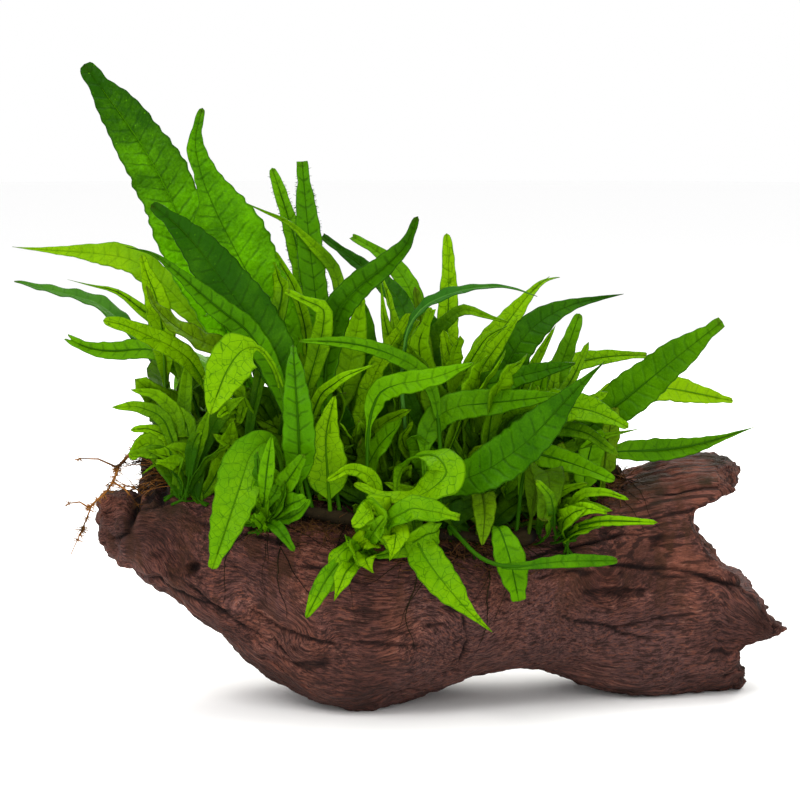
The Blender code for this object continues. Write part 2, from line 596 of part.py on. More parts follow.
def grow_plantlets():
    grow_plantlet("left", (-76, -18, 200), (0, 0, -1), "mid", [
        (6, [(-84, -18, 96), (-97, -20, 96)]),
        (5, [(-78, 6, 118), (-86, 12, 139), (-97, 12, 148), (-108, 14, 156), (-123, 18, 157)]),
        (5, [(-84, -10, 102), (-98, -8, 104)]),
        (6, [(-86, -12, 110), (-104, -10, 112)]),
        (6, [(-82, -6, 112), (-98, -4, 118)]),
        (5, [(-74, -22, 100), (-70, -30, 106)]),
        (5, [(-70, -20, 106), (-66, -24, 116)]),
        (7, [(-66, -16, 108), (-54, -22, 118)]),
        (6, [(-78, -4, 112), (-76, 0, 132)]),
    ])
    grow_plantlet("front_left", (-48, -100, 70), (0, 1, 0), "mid", [
        (6, [(-54, -44, 88), (-60, -48, 98)]),
        (6, [(-46, -44, 94), (-44, -46, 106)]),
        (5, [(-36, -46, 78), (-30, -48, 84)]),
        (5, [(-42, -48, 74), (-36, -52, 66)]),
        (8, [(-40, -42, 88), (-32, -46, 100)]),
    ])
    grow_plantlet("front_middle", (-12, -100, 62), (0, 1, 0), "mid", [
        (7, [(-22, -48, 60), (-32, -53, 42)]),
        (7, [(-17, -49, 60), (-22, -52, 48)]),
        (7, [(-12, -50, 58), (-13, -53, 46)]),
        (8, [(-8, -46, 72), (-4, -50, 78)]),
        (11, [(0, -46, 72), (-2, -50, 62)]),
        (10, [(4, -44, 80), (22, -47, 77)]),
        (6, [(-6, -38, 86), (-15, -38, 94), (-24, -42, 90)]),
    ])
    grow_plantlet("front_right", (58, -100, 62), (0, 1, 0), "bright", [
        (4, [(72, -34, 74), (94, -38, 74)]),
        (6, [(66, -32, 78), (76, -34, 77)]),
        (4, [(68, -30, 84), (84, -34, 82)]),
        (5, [(56, -36, 82), (50, -40, 90)]),
    ])
    grow_plantlet("crown_left", (-38, -4, 200), (0, 0, -1), "pale", [
        (6, [(-33, 4, 140), (-46, 4, 170)]),
        (8, [(-32, -6, 124), (-24, -14, 146), (-40, -18, 156)]),
        (5, [(-30, -14, 112), (-24, -22, 122), (-8, -26, 130)]),
        (7, [(-44, -10, 112), (-52, -14, 120), (-58, -16, 106)]),
        (12, [(-20, 10, 116), (-12, 14, 152)]),
        (9, [(-28, 8, 110), (-26, 10, 132)]),
        (5, [(-24, 14, 125), (-21, 24, 160), (-39, 26, 177), (-52, 24, 183), (-62, 22, 188)]),
        (6, [(-48, -8, 112), (-70, -16, 124)]),
        (5, [(-54, -2, 102), (-78, -4, 104)]),
    ])
    grow_plantlet("crown_right", (26, 2, 200), (0, 0, -1), "bright", [
        (5, [(26, 12, 126), (47, 12, 143)]),
        (6, [(6, -6, 112), (0, -16, 136), (8, -20, 146)]),
        (11, [(14, 2, 112), (8, 0, 132), (13, 0, 148)]),
        (7, [(4, 2, 118), (-4, 0, 142), (-6, -2, 160)]),
        (12, [(14, 16, 112), (4, 24, 140)]),
        (9, [(30, 12, 108), (40, 20, 132)]),
        (6, [(16, 12, 118), (13, 15, 142), (26, 10, 147), (42, 4, 142)]),
        (7, [(44, -8, 98), (54, -16, 106), (67, -24, 106), (80, -32, 98)]),
        (5, [(44, 14, 110), (60, 24, 139)]),
        (5, [(60, 6, 112), (72, 12, 134)]),
        (5, [(64, 0, 96), (92, -6, 104)]),
    ])
    grow_plantlet("rear_left", (-50, 34, 200), (0, 0, -1), "mid", [
        (7, [(-54, 46, 106), (-60, 60, 112)]),
        (7, [(-44, 50, 102), (-42, 66, 106)]),
        (6, [(-60, 50, 98), (-74, 62, 92)]),
        (6, [(-46, 50, 94), (-50, 64, 84)]),
    ])
    grow_plantlet("rear_middle", (-8, 32, 200), (0, 0, -1), "bright", [
        (7, [(-14, 46, 96), (-20, 62, 98)]),
        (7, [(-6, 48, 92), (-8, 64, 86)]),
        (6, [(4, 44, 98), (14, 58, 102)]),
        (6, [(-16, 44, 86), (-28, 56, 78)]),
    ])
    grow_plantlet("rear_right", (34, 38, 200), (0, 0, -1), "mid", [
        (7, [(32, 50, 92), (30, 64, 96)]),
        (7, [(40, 52, 88), (46, 68, 86)]),
        (6, [(44, 46, 96), (56, 56, 104)]),
        (6, [(26, 50, 82), (20, 62, 74)]),
    ])


def make_root():
    """The brown root that hangs past the left end, with its side roots."""
    line = smooth_line([(-93, -6, 101), (-99, -6, 93), (-106, -14, 84), (-112, -17, 74), (-119, -18, 59)], 9)
    while not is_clear(tube_rings(line[:-1], [1.4] * 8, 5), line[-1], placed):
        line = [p + Vector((0, -0.5, 0.05)) for p in line]
    radii = [1.0 - 0.06 * index for index in range(8)]
    root = add_object("hanging_root", loft(tube_rings(line[:-1], radii, 5), line[-1]), materials["root"])
    for at, side in ((2, (-16, 0, 2)), (3, (9, -2, -10)), (5, (-9, -1, 1))):
        start = line[at]
        branch = smooth_line([start, start + Vector(side) * 0.5 + Vector((0, 0, 1)), start + Vector(side)], 4)
        rings = tube_rings(branch[:-1], [0.6, 0.5, 0.4], 4)
        boolean(root, add_object("side_root", loft(rings, branch[-1]), materials["root"]), "UNION")
    placed.append(tree_in_mm(root))


def centre_on_base():
    """Bring the middle of the whole thing's base to the origin."""
    corners = [obj.matrix_world @ Vector(c) for obj in bpy.data.objects for c in obj.bound_box]
    low = Vector([min(c[axis] for c in corners) for axis in range(3)])
    high = Vector([max(c[axis] for c in corners) for axis in range(3)])
    middle = (low + high) / 2
    for obj in bpy.data.objects:
        obj.location = (-middle.x, -middle.y, -low.z)


clear_scene()
materials = {name: make_material(name) for name in COLOURS}
driftwood = make_driftwood()
placed.append(tree_in_mm(driftwood))
for rhizome_name, rhizome_route in RHIZOMES.items():
    make_rhizome(rhizome_name, rhizome_route)
grow_fronds()
grow_plantlets()
make_root()
bpy.context.view_layer.update()
centre_on_base()
bpy.context.view_layer.update()
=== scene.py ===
import json
import math
import random

import bmesh
import bpy
import numpy as np
from mathutils import Matrix, Vector, noise
from mathutils.bvhtree import BVHTree


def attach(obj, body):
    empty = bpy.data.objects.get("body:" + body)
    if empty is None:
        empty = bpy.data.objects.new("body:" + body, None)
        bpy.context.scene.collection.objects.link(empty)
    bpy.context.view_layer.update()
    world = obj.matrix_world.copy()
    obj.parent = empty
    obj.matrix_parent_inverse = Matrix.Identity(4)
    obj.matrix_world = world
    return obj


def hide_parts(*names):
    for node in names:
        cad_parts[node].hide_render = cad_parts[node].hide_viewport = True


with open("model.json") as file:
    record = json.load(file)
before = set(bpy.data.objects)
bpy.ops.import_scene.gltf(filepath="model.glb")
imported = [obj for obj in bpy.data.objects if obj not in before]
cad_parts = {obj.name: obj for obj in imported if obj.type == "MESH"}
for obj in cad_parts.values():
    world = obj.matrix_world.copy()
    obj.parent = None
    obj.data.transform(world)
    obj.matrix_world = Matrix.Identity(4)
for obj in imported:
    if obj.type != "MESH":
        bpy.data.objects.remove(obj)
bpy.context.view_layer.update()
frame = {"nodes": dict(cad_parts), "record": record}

nodes = frame["nodes"]
slotOf = {entry["node"]: entry["material_slot"] for entry in frame["record"]["subparts"]}
scene = bpy.context.scene
mm = 0.001


# a number, colour or vector on its way through a material's nodes
class Wire:
    def __init__(self, finish, socket):
        self.finish = finish
        self.socket = socket

    def sum(self, operation, *others):
        return self.finish.node("Math", {"operation": operation}, dict(enumerate((self, *others))))

    def __add__(self, other):
        return self.sum("ADD", other)

    def __radd__(self, other):
        return self.sum("ADD", other)

    def __sub__(self, other):
        return self.sum("SUBTRACT", other)

    def __rsub__(self, other):
        return self.finish.node("Math", {"operation": "SUBTRACT"}, {0: other, 1: self})

    def __mul__(self, other):
        return self.sum("MULTIPLY", other)

    def __truediv__(self, other):
        return self.sum("DIVIDE", other)

    def __abs__(self):
        return self.sum("ABSOLUTE")

    # 0 below low, 1 above high, smooth between
    def step(self, low, high):
        return self.finish.node("MapRange", {"interpolation_type": "SMOOTHSTEP"},
                                {"Value": self, "From Min": low, "From Max": high})

    # distance to the nearest whole number
    def toWhole(self):
        return self.sum("PINGPONG", 0.5)


# a material with short ways to add nodes
class Finish:
    def __init__(self, name):
        self.material = bpy.data.materials.new(name)
        self.material.use_nodes = True
        self.tree = self.material.node_tree
        self.shader = self.tree.nodes["Principled BSDF"]

    def node(self, kind, settings=None, sockets=None, output=0):
        made = self.tree.nodes.new("ShaderNode" + kind)
        for key, value in (settings or {}).items():
            setattr(made, key, value)
        for key, value in (sockets or {}).items():
            self.feed(made.inputs[key], value)
        return Wire(self, made.outputs[output])

    def feed(self, socket, value):
        if isinstance(value, Wire):
            self.tree.links.new(value.socket, socket)
        elif isinstance(value, tuple) and len(value) == 3 and socket.type == "RGBA":
            socket.default_value = (*value, 1.0)
        else:
            socket.default_value = value

    # first where share is 0, second where it is 1
    def mix(self, share, first, second):
        return self.node("Mix", {"data_type": "RGBA"}, {0: share, 6: first, 7: second}, 2)

    def stretched(self, vector, scale):
        return self.node("VectorMath", {"operation": "MULTIPLY"}, {0: vector, 1: scale})

    def shifted(self, vector, by):
        return self.node("VectorMath", {"operation": "ADD"}, {0: vector, 1: by})

    def clouds(self, vector, scale, detail=2.0, roughness=0.5, output=0):
        return self.node("TexNoise", None, {"Vector": vector, "Scale": scale, "Detail": detail,
                                            "Roughness": roughness}, output)

    # output 1 is a vector and output 2 a number
    def attribute(self, name, output=1):
        return self.node("Attribute", {"attribute_name": name}, None, output)

    def parts(self, vector):
        split = self.tree.nodes.new("ShaderNodeSeparateXYZ")
        self.feed(split.inputs[0], vector)
        return [Wire(self, socket) for socket in split.outputs]

    def set(self, **sockets):
        for key, value in sockets.items():
            self.feed(self.shader.inputs[key.replace("_", " ")], value)

    def bump(self, height, strength, distance):
        self.set(Normal=self.node("Bump", None, {"Height": height, "Strength": strength,
                                                 "Distance": distance}))


# a node's solid from the frame, with its triangles joined
def solidOf(nodeName):
    bm = bmesh.new()
    bm.from_mesh(nodes[nodeName].data)
    bmesh.ops.remove_doubles(bm, verts=bm.verts, dist=0.01 * mm)
    return bm


def cornersOf(nodeName):
    return [v.co.copy() for v in nodes[nodeName].data.vertices]


def meshFrom(bm, name):
    mesh = bpy.data.meshes.new(name)
    bm.to_mesh(mesh)
    bm.free()
    return mesh


# adds a finished mesh as a piece that rides with the frame
def addPiece(name, mesh, finishes, replaced=()):
    mesh.name = name
    for finish in finishes:
        mesh.materials.append(finish)
    mesh.shade_smooth()
    piece = bpy.data.objects.new(name, mesh)
    scene.collection.objects.link(piece)
    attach(piece, "root")
    if replaced:
        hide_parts(*replaced)
    return piece


# one mesh of closed, tapered tubes; a line is a list of places and radii
def tubeMesh(lines, resolution=1, materialIndex=0):
    curve = bpy.data.curves.new("lines", "CURVE")
    curve.dimensions = "3D"
    curve.bevel_depth = 1.0
    curve.bevel_resolution = resolution
    curve.use_fill_caps = True
    for line in lines:
        spline = curve.splines.new("POLY")
        spline.points.add(len(line) - 1)
        for knot, (place, radius) in zip(spline.points, line):
            knot.co = (*place, 1.0)
            knot.radius = radius
    holder = bpy.data.objects.new("lines", curve)
    mesh = bpy.data.meshes.new_from_object(holder)
    bpy.data.objects.remove(holder)
    bm = bmesh.new()
    bm.from_mesh(mesh)
    bmesh.ops.remove_doubles(bm, verts=bm.verts, dist=0.001 * mm)
    bmesh.ops.recalc_face_normals(bm, faces=bm.faces)
    for face in bm.faces:
        face.material_index = materialIndex
    bm.to_mesh(mesh)
    bm.free()
    mesh.materials.clear()
    return mesh


# a smooth value at t between evenly spaced numbers or vectors
def smoothAt(values, t):
    last = len(values) - 1
    at = min(int(t * last), last - 1)
    u = t * last - at
    a, b, c, d = (values[min(max(at + k, 0), last)] for k in (-1, 0, 1, 2))
    bend = 2 * a - 5 * b + 4 * c - d
    twist = 3 * b - a - 3 * c + d
    return 0.5 * (2 * b + (c - a) * u + bend * u ** 2 + twist * u ** 3)


def clamp(value):
    return min(max(value, 0.0), 1.0)


# a vector whose parts are drawn from ranges or are plain numbers
def drawn(chance, *parts):
    return Vector([chance.uniform(*part) if isinstance(part, tuple) else part for part in parts])


# stage and camera
stageSizes = {"floorRadius": 4.0, "floorColour": (0.97, 0.97, 0.97), "floorRoughness": 0.9,
              "worldColour": (1.0, 1.0, 1.0), "worldStrength": 1.0, "lampsFace": (0.0, 0.0, 0.10)}
lights = {                # place, size, watts and colour
    "key": ((-0.55, -0.75, 0.95), 0.6, 9.0, (1.0, 0.985, 0.96)),
    "fill": ((0.30, -1.15, 0.30), 0.9, 5.5, (1.0, 0.99, 0.97)),
    "top": ((0.05, 0.15, 1.1), 0.7, 5.0, (1.0, 1.0, 0.98)),
    "back": ((0.35, 0.85, 0.7), 0.7, 10.0, (1.0, 1.0, 0.95)),
}
cameraSizes = {"distance": 1.1, "elevation": 7.0, "widthSeen": 0.296, "sensor": 36.0, "clipEnd": 20.0,
               "target": (2.26 * mm, -13.0 * mm, 113.7 * mm)}


def setStage():
    bm = bmesh.new()
    bmesh.ops.create_circle(bm, segments=96, radius=stageSizes["floorRadius"], cap_ends=True)
    mesh = meshFrom(bm, "floor")
    floor = bpy.data.objects.new("floor", mesh)
    scene.collection.objects.link(floor)
    finish = Finish("floorPaper")
    finish.set(Base_Color=stageSizes["floorColour"], Roughness=stageSizes["floorRoughness"])
    mesh.materials.append(finish.material)
    world = bpy.data.worlds.new("studio")
    world.use_nodes = True
    light = world.node_tree.nodes["Background"]
    light.inputs["Color"].default_value = (*stageSizes["worldColour"], 1.0)
    light.inputs["Strength"].default_value = stageSizes["worldStrength"]
    scene.world = world
    aim = Vector(stageSizes["lampsFace"])
    for name, (place, size, power, colour) in lights.items():
        lamp = bpy.data.lights.new(name, "AREA")
        lamp.size = size
        lamp.energy = power
        lamp.color = colour
        holder = bpy.data.objects.new(name, lamp)
        holder.location = place
        holder.rotation_euler = (aim - Vector(place)).to_track_quat("-Z", "Y").to_euler()
        scene.collection.objects.link(holder)
    lens = bpy.data.cameras.new("camera")
    lens.sensor_width = cameraSizes["sensor"]
    lens.lens = cameraSizes["sensor"] * cameraSizes["distance"] / cameraSizes["widthSeen"]
    lens.clip_end = cameraSizes["clipEnd"]
    camera = bpy.data.objects.new("camera", lens)
    tilt = math.radians(cameraSizes["elevation"])
    away = Vector((0, -math.cos(tilt), math.sin(tilt))) * cameraSizes["distance"]
    camera.location = Vector(cameraSizes["target"]) + away
    camera.rotation_euler = (math.radians(90) - tilt, 0, 0)
    scene.collection.objects.link(camera)
    scene.camera = camera
    scene.view_settings.view_transform = "Standard"


setStage()
print("stage set")


# driftwood
driftwoodSizes = {
    "voxel": 1.05 * mm,
    "relax": 14,                      # rounds of smoothing away the frame's facets
    # height of each relief, then its size in mm, along and across the grain where it follows it
    "lumps": (1.1 * mm, 19.0),
    "ridges": (0.60 * mm, 75.0, 6.5),
    "fineRidges": (0.50 * mm, 30.0, 2.0),
    "fissures": (1.2 * mm, 52.0, 3.0),
    "grit": (0.45 * mm, 2.4),
    "pebbles": (0.675 * mm, 6.0),
    "knobs": (3.4 * mm, 13.0),        # swellings at the left end
    "knobsFade": (-58.0, 30.0),       # where they end along x, and over what length, in mm
    "splinters": 3.4 * mm,
    "brokenFrom": 112 * mm,           # the torn end starts here along x
    "tornOver": 6 * mm,
    "lowest": 0.2 * mm,
    # x, z, half width, half height, depth and rim of each hollow in the front face, in mm
    "hollows": (
        (-86.0, 81.0, 2.8, 3.6, 5.0, 0.9),
        (-90.5, 80.0, 1.8, 2.0, 3.4, 0.5),
        (-80.0, 57.0, 9.0, 4.2, 2.6, 1.6),
        (-73.0, 55.5, 3.2, 2.0, 2.8, 0.6),
        (-49.0, 37.0, 6.5, 9.0, 2.4, 0.4),
        (-8.0, 46.0, 14.0, 16.0, 3.0, 0.0),
        (-36.0, 28.0, 1.6, 1.6, 0.5, 0.8),
        (74.0, 45.0, 7.0, 8.0, 3.4, 1.2),
        (84.0, 41.0, 4.0, 4.0, 2.2, 1.0),
        (125.0, 24.0, 13.0, 7.0, 5.0, 0.0),
        (48.0, 60.0, 16.0, 6.0, 2.2, 0.0),
        (-70.0, 74.0, 8.0, 5.0, 1.8, 0.6),
    ),
    # x, z, reach in mm and turn in radians of each knot that the grain winds around
    "knots": (
        (-83.0, 61.0, 15.0, 1.3),
        (-35.5, 30.5, 8.0, 1.7),
        (-88.0, 82.0, 8.0, 1.0),
        (72.0, 48.0, 11.0, 1.2),
        (-58.0, 44.0, 12.0, -1.4),
        (20.0, 34.0, 14.0, 1.2),
    ),
    # ends of each crack in the front face in x and z, its half width and its depth, in mm
    "cracks": (
        ((-94, 88), (-97, 68), 1.7, 6.0),
        ((-97, 68), (-104, 64), 1.2, 3.0),
        ((-56, 68), (-44, 74), 0.8, 2.6),
        ((-44, 74), (-33, 73), 0.6, 1.8),
        ((-45, 32), (-38, 22), 0.6, 1.6),
        ((25, 40), (27, 30), 0.7, 1.8),
        ((27, 30), (24, 20), 0.6, 1.6),
        ((66, 55), (104, 51), 0.9, 2.2),
        ((104, 51), (132, 43), 0.9, 2.6),
        ((60, 36), (96, 24), 0.8, 1.6),
        ((30, 72), (86, 79), 0.9, 2.4),
        ((70, 86), (118, 90), 0.8, 2.0),
        ((44, 58), (92, 64), 0.6, 1.6),
        ((34, 66), (84, 70), 0.7, 1.8),
        ((-96, 52), (-60, 40), 0.8, 1.4),
        ((-78, 52), (-50, 30), 0.8, 1.6),
    ),
    # ledges: the wood below the line from the first to the second point stands proud, in mm
    "ledges": (
        ((60, 44), (140, 41), 2.4),
        ((50, 31), (138, 27), 1.6),
    ),
}


def fibres(x, y, level, relief):
    along, across = relief[1:]
    return noise.noise(Vector((x / along, y / across, level / across)))


# how far a point of the wood moves out, in metres, and how much shade is painted on it where it lies in a
# cleft; its place is in mm
def woodRelief(x, y, z, level):
    sizes = driftwoodSizes
    here = Vector((x, y, z))
    out = sum(sizes[name][0] * noise.noise(here / sizes[name][1]) for name in ("lumps", "grit", "pebbles"))
    out += sizes["ridges"][0] * fibres(x, y, level, sizes["ridges"])
    out += sizes["fineRidges"][0] * fibres(x, y + 40, level, sizes["fineRidges"])
    fadeAt, fadeOver = sizes["knobsFade"]
    height, size = sizes["knobs"]
    knob = noise.noise(Vector((x, y + 9, z)) / size) + 0.55 * noise.noise(here / 5.0)
    out += clamp((fadeAt - x) / fadeOver) * height * knob
    cleft = clamp((fibres(x, y - 70, level, sizes["fissures"]) - 0.34) / 0.2)
    # the second value is the painted shade in the cleft
    return out - sizes["fissures"][0] * cleft, 0.7 * cleft


# the same for the marks in the front face: hollows and cracks get painted shade, ledges none
def woodMarks(x, z):
    sizes = driftwoodSizes
    bend = noise.noise(Vector((x / 9, 3.0, z / 9))) * 1.6
    out = 0.0
    shade = 0.0
    for centreX, centreZ, wide, high, depth, rim in sizes["hollows"]:
        far = math.hypot((x - centreX) / wide, (z + bend - centreZ) / high)
        if far < 2.4:
            out -= depth * mm * math.exp(-far ** 3) - rim * mm * math.exp(-((far - 1.25) / 0.22) ** 2)
            # the hollow is darkened by painted shade, the more so the deeper it is
            shade = max(shade, math.exp(-far ** 3) * min(depth / max(wide, high), 1.0))
    for (startX, startZ), (endX, endZ), half, depth in sizes["cracks"]:
        longX, longZ = endX - startX, endZ - startZ
        along = ((x - startX) * longX + (z - startZ) * longZ) / (longX ** 2 + longZ ** 2)
        if -0.1 < along < 1.1:
            t = clamp(along)
            gap = math.hypot(x - startX - longX * t, z + bend * 0.7 - startZ - longZ * t)
            deep = math.exp(-(gap / half) ** 2) * (0.4 + 0.6 * math.sin(math.pi * t) ** 0.5)
            out -= depth * mm * deep
            # the crack is darkened by painted shade
            shade = max(shade, deep)
    for (startX, startZ), (endX, endZ), height in sizes["ledges"]:
        t = (x - startX) / (endX - startX)
        if 0.0 < t < 1.15:
            below = startZ + (endZ - startZ) * t + bend * 1.2 - z
            rise = clamp(below / 1.6) * math.exp(-max(below, 0.0) / 9.0)
            out += height * mm * rise * min(1.0, t * 4)
    return out, shade


# how far a point at the torn end moves along x, and how much shade is painted on it between the splinters
def tornEnd(x, y, z, normal):
    torn = abs(normal.x) * min(1.0, (x * mm - driftwoodSizes["brokenFrom"]) / driftwoodSizes["tornOver"])
    spike = noise.noise(Vector((x / 14, y / 5, z / 4.5))) + 0.45 * noise.noise(Vector((1, y / 2, z / 1.8)))
    return torn * driftwoodSizes["splinters"] * spike, torn * clamp(-spike * 1.6)


# the frame's log as an even mesh
def evenLog():
    holder = bpy.data.objects.new("rough", meshFrom(solidOf("driftwood"), "rough"))
    scene.collection.objects.link(holder)
    remesh = holder.modifiers.new("remesh", "REMESH")
    remesh.mode = "VOXEL"
    remesh.voxel_size = driftwoodSizes["voxel"]
    mesh = bpy.data.meshes.new_from_object(holder.evaluated_get(bpy.context.evaluated_depsgraph_get()))
    bpy.data.objects.remove(holder)
    return mesh


# the mesh's places, with every point pulled towards its neighbours some times
def relaxedPlaces(mesh):
    count = len(mesh.vertices)
    places = np.zeros(count * 3)
    mesh.vertices.foreach_get("co", places)
    places = places.reshape(-1, 3)
    pairs = np.zeros(len(mesh.edges) * 2, dtype=np.int32)
    mesh.edges.foreach_get("vertices", pairs)
    first, second = pairs.reshape(-1, 2).T
    meets = np.bincount(first, minlength=count) + np.bincount(second, minlength=count)
    for _ in range(driftwoodSizes["relax"]):
        total = np.zeros_like(places)
        for axis in range(3):
            total[:, axis] += np.bincount(first, weights=places[second, axis], minlength=count)
            total[:, axis] += np.bincount(second, weights=places[first, axis], minlength=count)
        places = places * 0.4 + total / meets[:, None] * 0.6
    return places


# the grain keeps to the outline, so a level is a height taken between the underside and the top
grainSizes = {"slice": 4 * mm, "levels": 75.0}


def grainLevels(places):
    leftmost = places[:, 0].min()
    slices = np.clip(((places[:, 0] - leftmost) / grainSizes["slice"]).astype(int), 0, None)
    count = slices.max() + 1
    lows = np.array([places[slices == k, 2].min() for k in range(count)])
    highs = np.array([places[slices == k, 2].max() for k in range(count)])
    middles = np.arange(count) * grainSizes["slice"] + leftmost + grainSizes["slice"] / 2

    def evened(heights):
        smooth = np.convolve(np.pad(heights, 2, "edge"), np.ones(5) / 5, "valid")
        return np.interp(places[:, 0], middles, smooth)

    low = evened(lows)
    return (places[:, 2] - low) / (evened(highs) - low) * grainSizes["levels"]


# the grain's own directions, in mm: along, through and across it; it winds around each knot
def grainAround(places, level):
    along = places[:, 0] / mm
    for knotX, knotZ, reach, turn in driftwoodSizes["knots"]:
        awayX, awayZ = places[:, 0] / mm - knotX, places[:, 2] / mm - knotZ
        angle = turn * np.exp(-(awayX ** 2 + awayZ ** 2) / reach ** 2)
        along = along + awayX * np.cos(angle) - awayZ * np.sin(angle) - awayX
        level = level + awayX * np.sin(angle) + awayZ * np.cos(angle) - awayZ
    return np.stack((along, places[:, 1] / mm, level), 1)


def makeDriftwood():
    mesh = evenLog()
    places = relaxedPlaces(mesh)
    mesh.vertices.foreach_set("co", places.ravel())
    mesh.update()
    level = grainLevels(places)
    shades = np.zeros(len(places))
    moved = places.copy()
    for index, vertex in enumerate(mesh.vertices):
        x, y, z = places[index] / mm
        normal = vertex.normal
        out, shade = woodRelief(x, y, z, level[index])
        if normal.y < 0.35 or normal.z > 0.6:
            further, moreShade = woodMarks(x, z)
            out += further
            shade = max(shade, moreShade)
        moved[index] += np.array(normal) * out
        if x * mm > driftwoodSizes["brokenFrom"]:
            further, moreShade = tornEnd(x, y, z, normal)
            moved[index, 0] += further
            shade = max(shade, moreShade)
        shades[index] = shade
    moved[:, 2] = np.maximum(moved[:, 2], driftwoodSizes["lowest"])
    mesh.vertices.foreach_set("co", moved.ravel())
    grain = mesh.attributes.new("grain", "FLOAT_VECTOR", "POINT")
    grain.data.foreach_set("vector", grainAround(places, level).ravel())
    # the painted shade of clefts, hollows, cracks and splinters, which the finish turns into near black
    depth = mesh.attributes.new("hollow", "FLOAT", "POINT")
    depth.data.foreach_set("value", shades)
    mesh.update()
    mesh.materials.clear()
    return mesh


woodColours = {
    "brown": (0.124, 0.048, 0.039), "dark": (0.020, 0.008, 0.006), "dull": (0.068, 0.027, 0.022),
    "red": (0.215, 0.070, 0.042), "tan": (0.360, 0.165, 0.115), "grey": (0.120, 0.064, 0.063),
    # hollow is the near black that is painted in as shade
    "hollow": (0.006, 0.003, 0.003), "algae": (0.020, 0.014, 0.005), "stain": (0.046, 0.018, 0.007),
}
woodSwirl = {"scale": 0.040, "reach": 3.5}
# how many threads there are to a mm along and across the grain
woodThreads = {"coarse": (0.022, 0.36), "fine": (0.045, 1.05), "hair": (0.080, 2.0), "speck": (0.30, 1.10),
               "line": (0.011, 0.62)}
# how many clouds of colour there are to a metre
woodClouds = {"patch": 42.0, "wide": 17.0, "broad": 27.0, "stain": 95.0, "moss": 60.0}
# the heights, and for the torn end the place along x, where a colour comes in
woodReach = {"tornEnd": (0.030, 0.060), "lines": (0.040, 0.056), "underside": (0.050, 0.008),
             "stain": (0.020, 0.060), "moss": (0.066, 0.084)}
woodSurface = {"roughness": 0.60, "specular": 0.12, "bumpDepth": 2.2 * mm}


def woodFinish():
    finish = Finish("oldWood")
    colours = woodColours
    grain = finish.attribute("grain")
    spot = finish.node("TexCoord", None, None, 3)
    swirl = finish.clouds(grain, woodSwirl["scale"], 2.0, 0.5, 1)
    bent = finish.shifted(grain, finish.stretched(swirl, (0.0, woodSwirl["reach"], woodSwirl["reach"] * 1.8)))

    def threads(way, name, detail, roughness):
        along, across = woodThreads[name]
        return finish.clouds(finish.stretched(way, (along, across, across)), 1.0, detail, roughness)

    def cloud(name, place=spot, detail=3.0, roughness=0.6):
        return finish.clouds(place, woodClouds[name], detail, roughness)

    coarse = threads(bent, "coarse", 3.0, 0.6)
    fine = threads(bent, "fine", 3.0, 0.6)
    hair = threads(bent, "hair", 2.0, 0.6)
    speck = threads(bent, "speck", 4.0, 0.75)
    patch = cloud("patch")
    wide = cloud("wide", spot, 2.0, 0.5)
    colour = finish.mix(coarse.step(0.36, 0.62), colours["dull"], colours["brown"])
    colour = finish.mix(patch.step(0.46, 0.66) * 0.55, colour, colours["red"])
    colour = finish.mix(wide.step(0.50, 0.62) * 0.45, colour, colours["grey"])
    colour = finish.mix(fine.step(0.48, 0.40) * 0.72, colour, colours["dark"])
    colour = finish.mix(hair.step(0.50, 0.38) * 0.50, colour, colours["dark"])
    pale = fine.step(0.52, 0.62) * hair.step(0.50, 0.60) * patch.step(0.34, 0.56)
    colour = finish.mix(pale * 0.50, colour, colours["tan"])
    colour = finish.mix(speck.step(0.54, 0.60) * 0.55, colour, colours["red"])
    colour = finish.mix(speck.step(0.47, 0.41) * 0.75, colour, colours["dark"])
    # straight dark lines towards the torn end, and the wood darker towards the bottom
    rightwards, _, height = finish.parts(spot)
    lines = threads(grain, "line", 2.0, 0.5).step(0.50, 0.60)
    there = rightwards.step(*woodReach["tornEnd"]) * height.step(*woodReach["lines"])
    colour = finish.mix(there * patch.step(0.35, 0.55) * 0.45, colour, colours["red"])
    colour = finish.mix(lines * there * 0.85, colour, colours["dark"])
    colour = finish.mix(height.step(*woodReach["underside"]) * 0.35, colour, colours["dark"])
    colour = finish.mix(cloud("broad").step(0.50, 0.36) * 0.55, colour, colours["dark"])
    stains = cloud("stain", finish.stretched(spot, (1.0, 1.0, 0.22))).step(0.52, 0.64)
    colour = finish.mix(stains * height.step(*woodReach["stain"]) * 0.6, colour, colours["stain"])
    mossy = cloud("moss").step(0.44, 0.56) * height.step(*woodReach["moss"]) * 0.85
    colour = finish.mix(mossy, colour, colours["algae"])
    # painted shade: the wood goes near black where it lies in a cleft, hollow or crack, or between splinters
    hollow = finish.attribute("hollow", 2)
    colour = finish.mix(hollow.step(0.10, 0.90) * 0.9, colour, colours["hollow"])
    finish.set(Base_Color=colour, Roughness=woodSurface["roughness"] + fine * 0.3,
               Specular_IOR_Level=woodSurface["specular"])
    relief = fine * 0.9 + hair * 0.55 + coarse * 0.7 + speck * 0.35
    finish.bump(relief, 1.0, woodSurface["bumpDepth"])
    return finish.material


woodMesh = makeDriftwood()
addPiece("driftwoodLog", woodMesh, [woodFinish()], ["driftwood"])
woodFaces = [tuple(face.vertices) for face in woodMesh.polygons]
woodTree = BVHTree.FromPolygons([v.co for v in woodMesh.vertices], woodFaces)
print("driftwood made,", len(woodFaces), "faces")


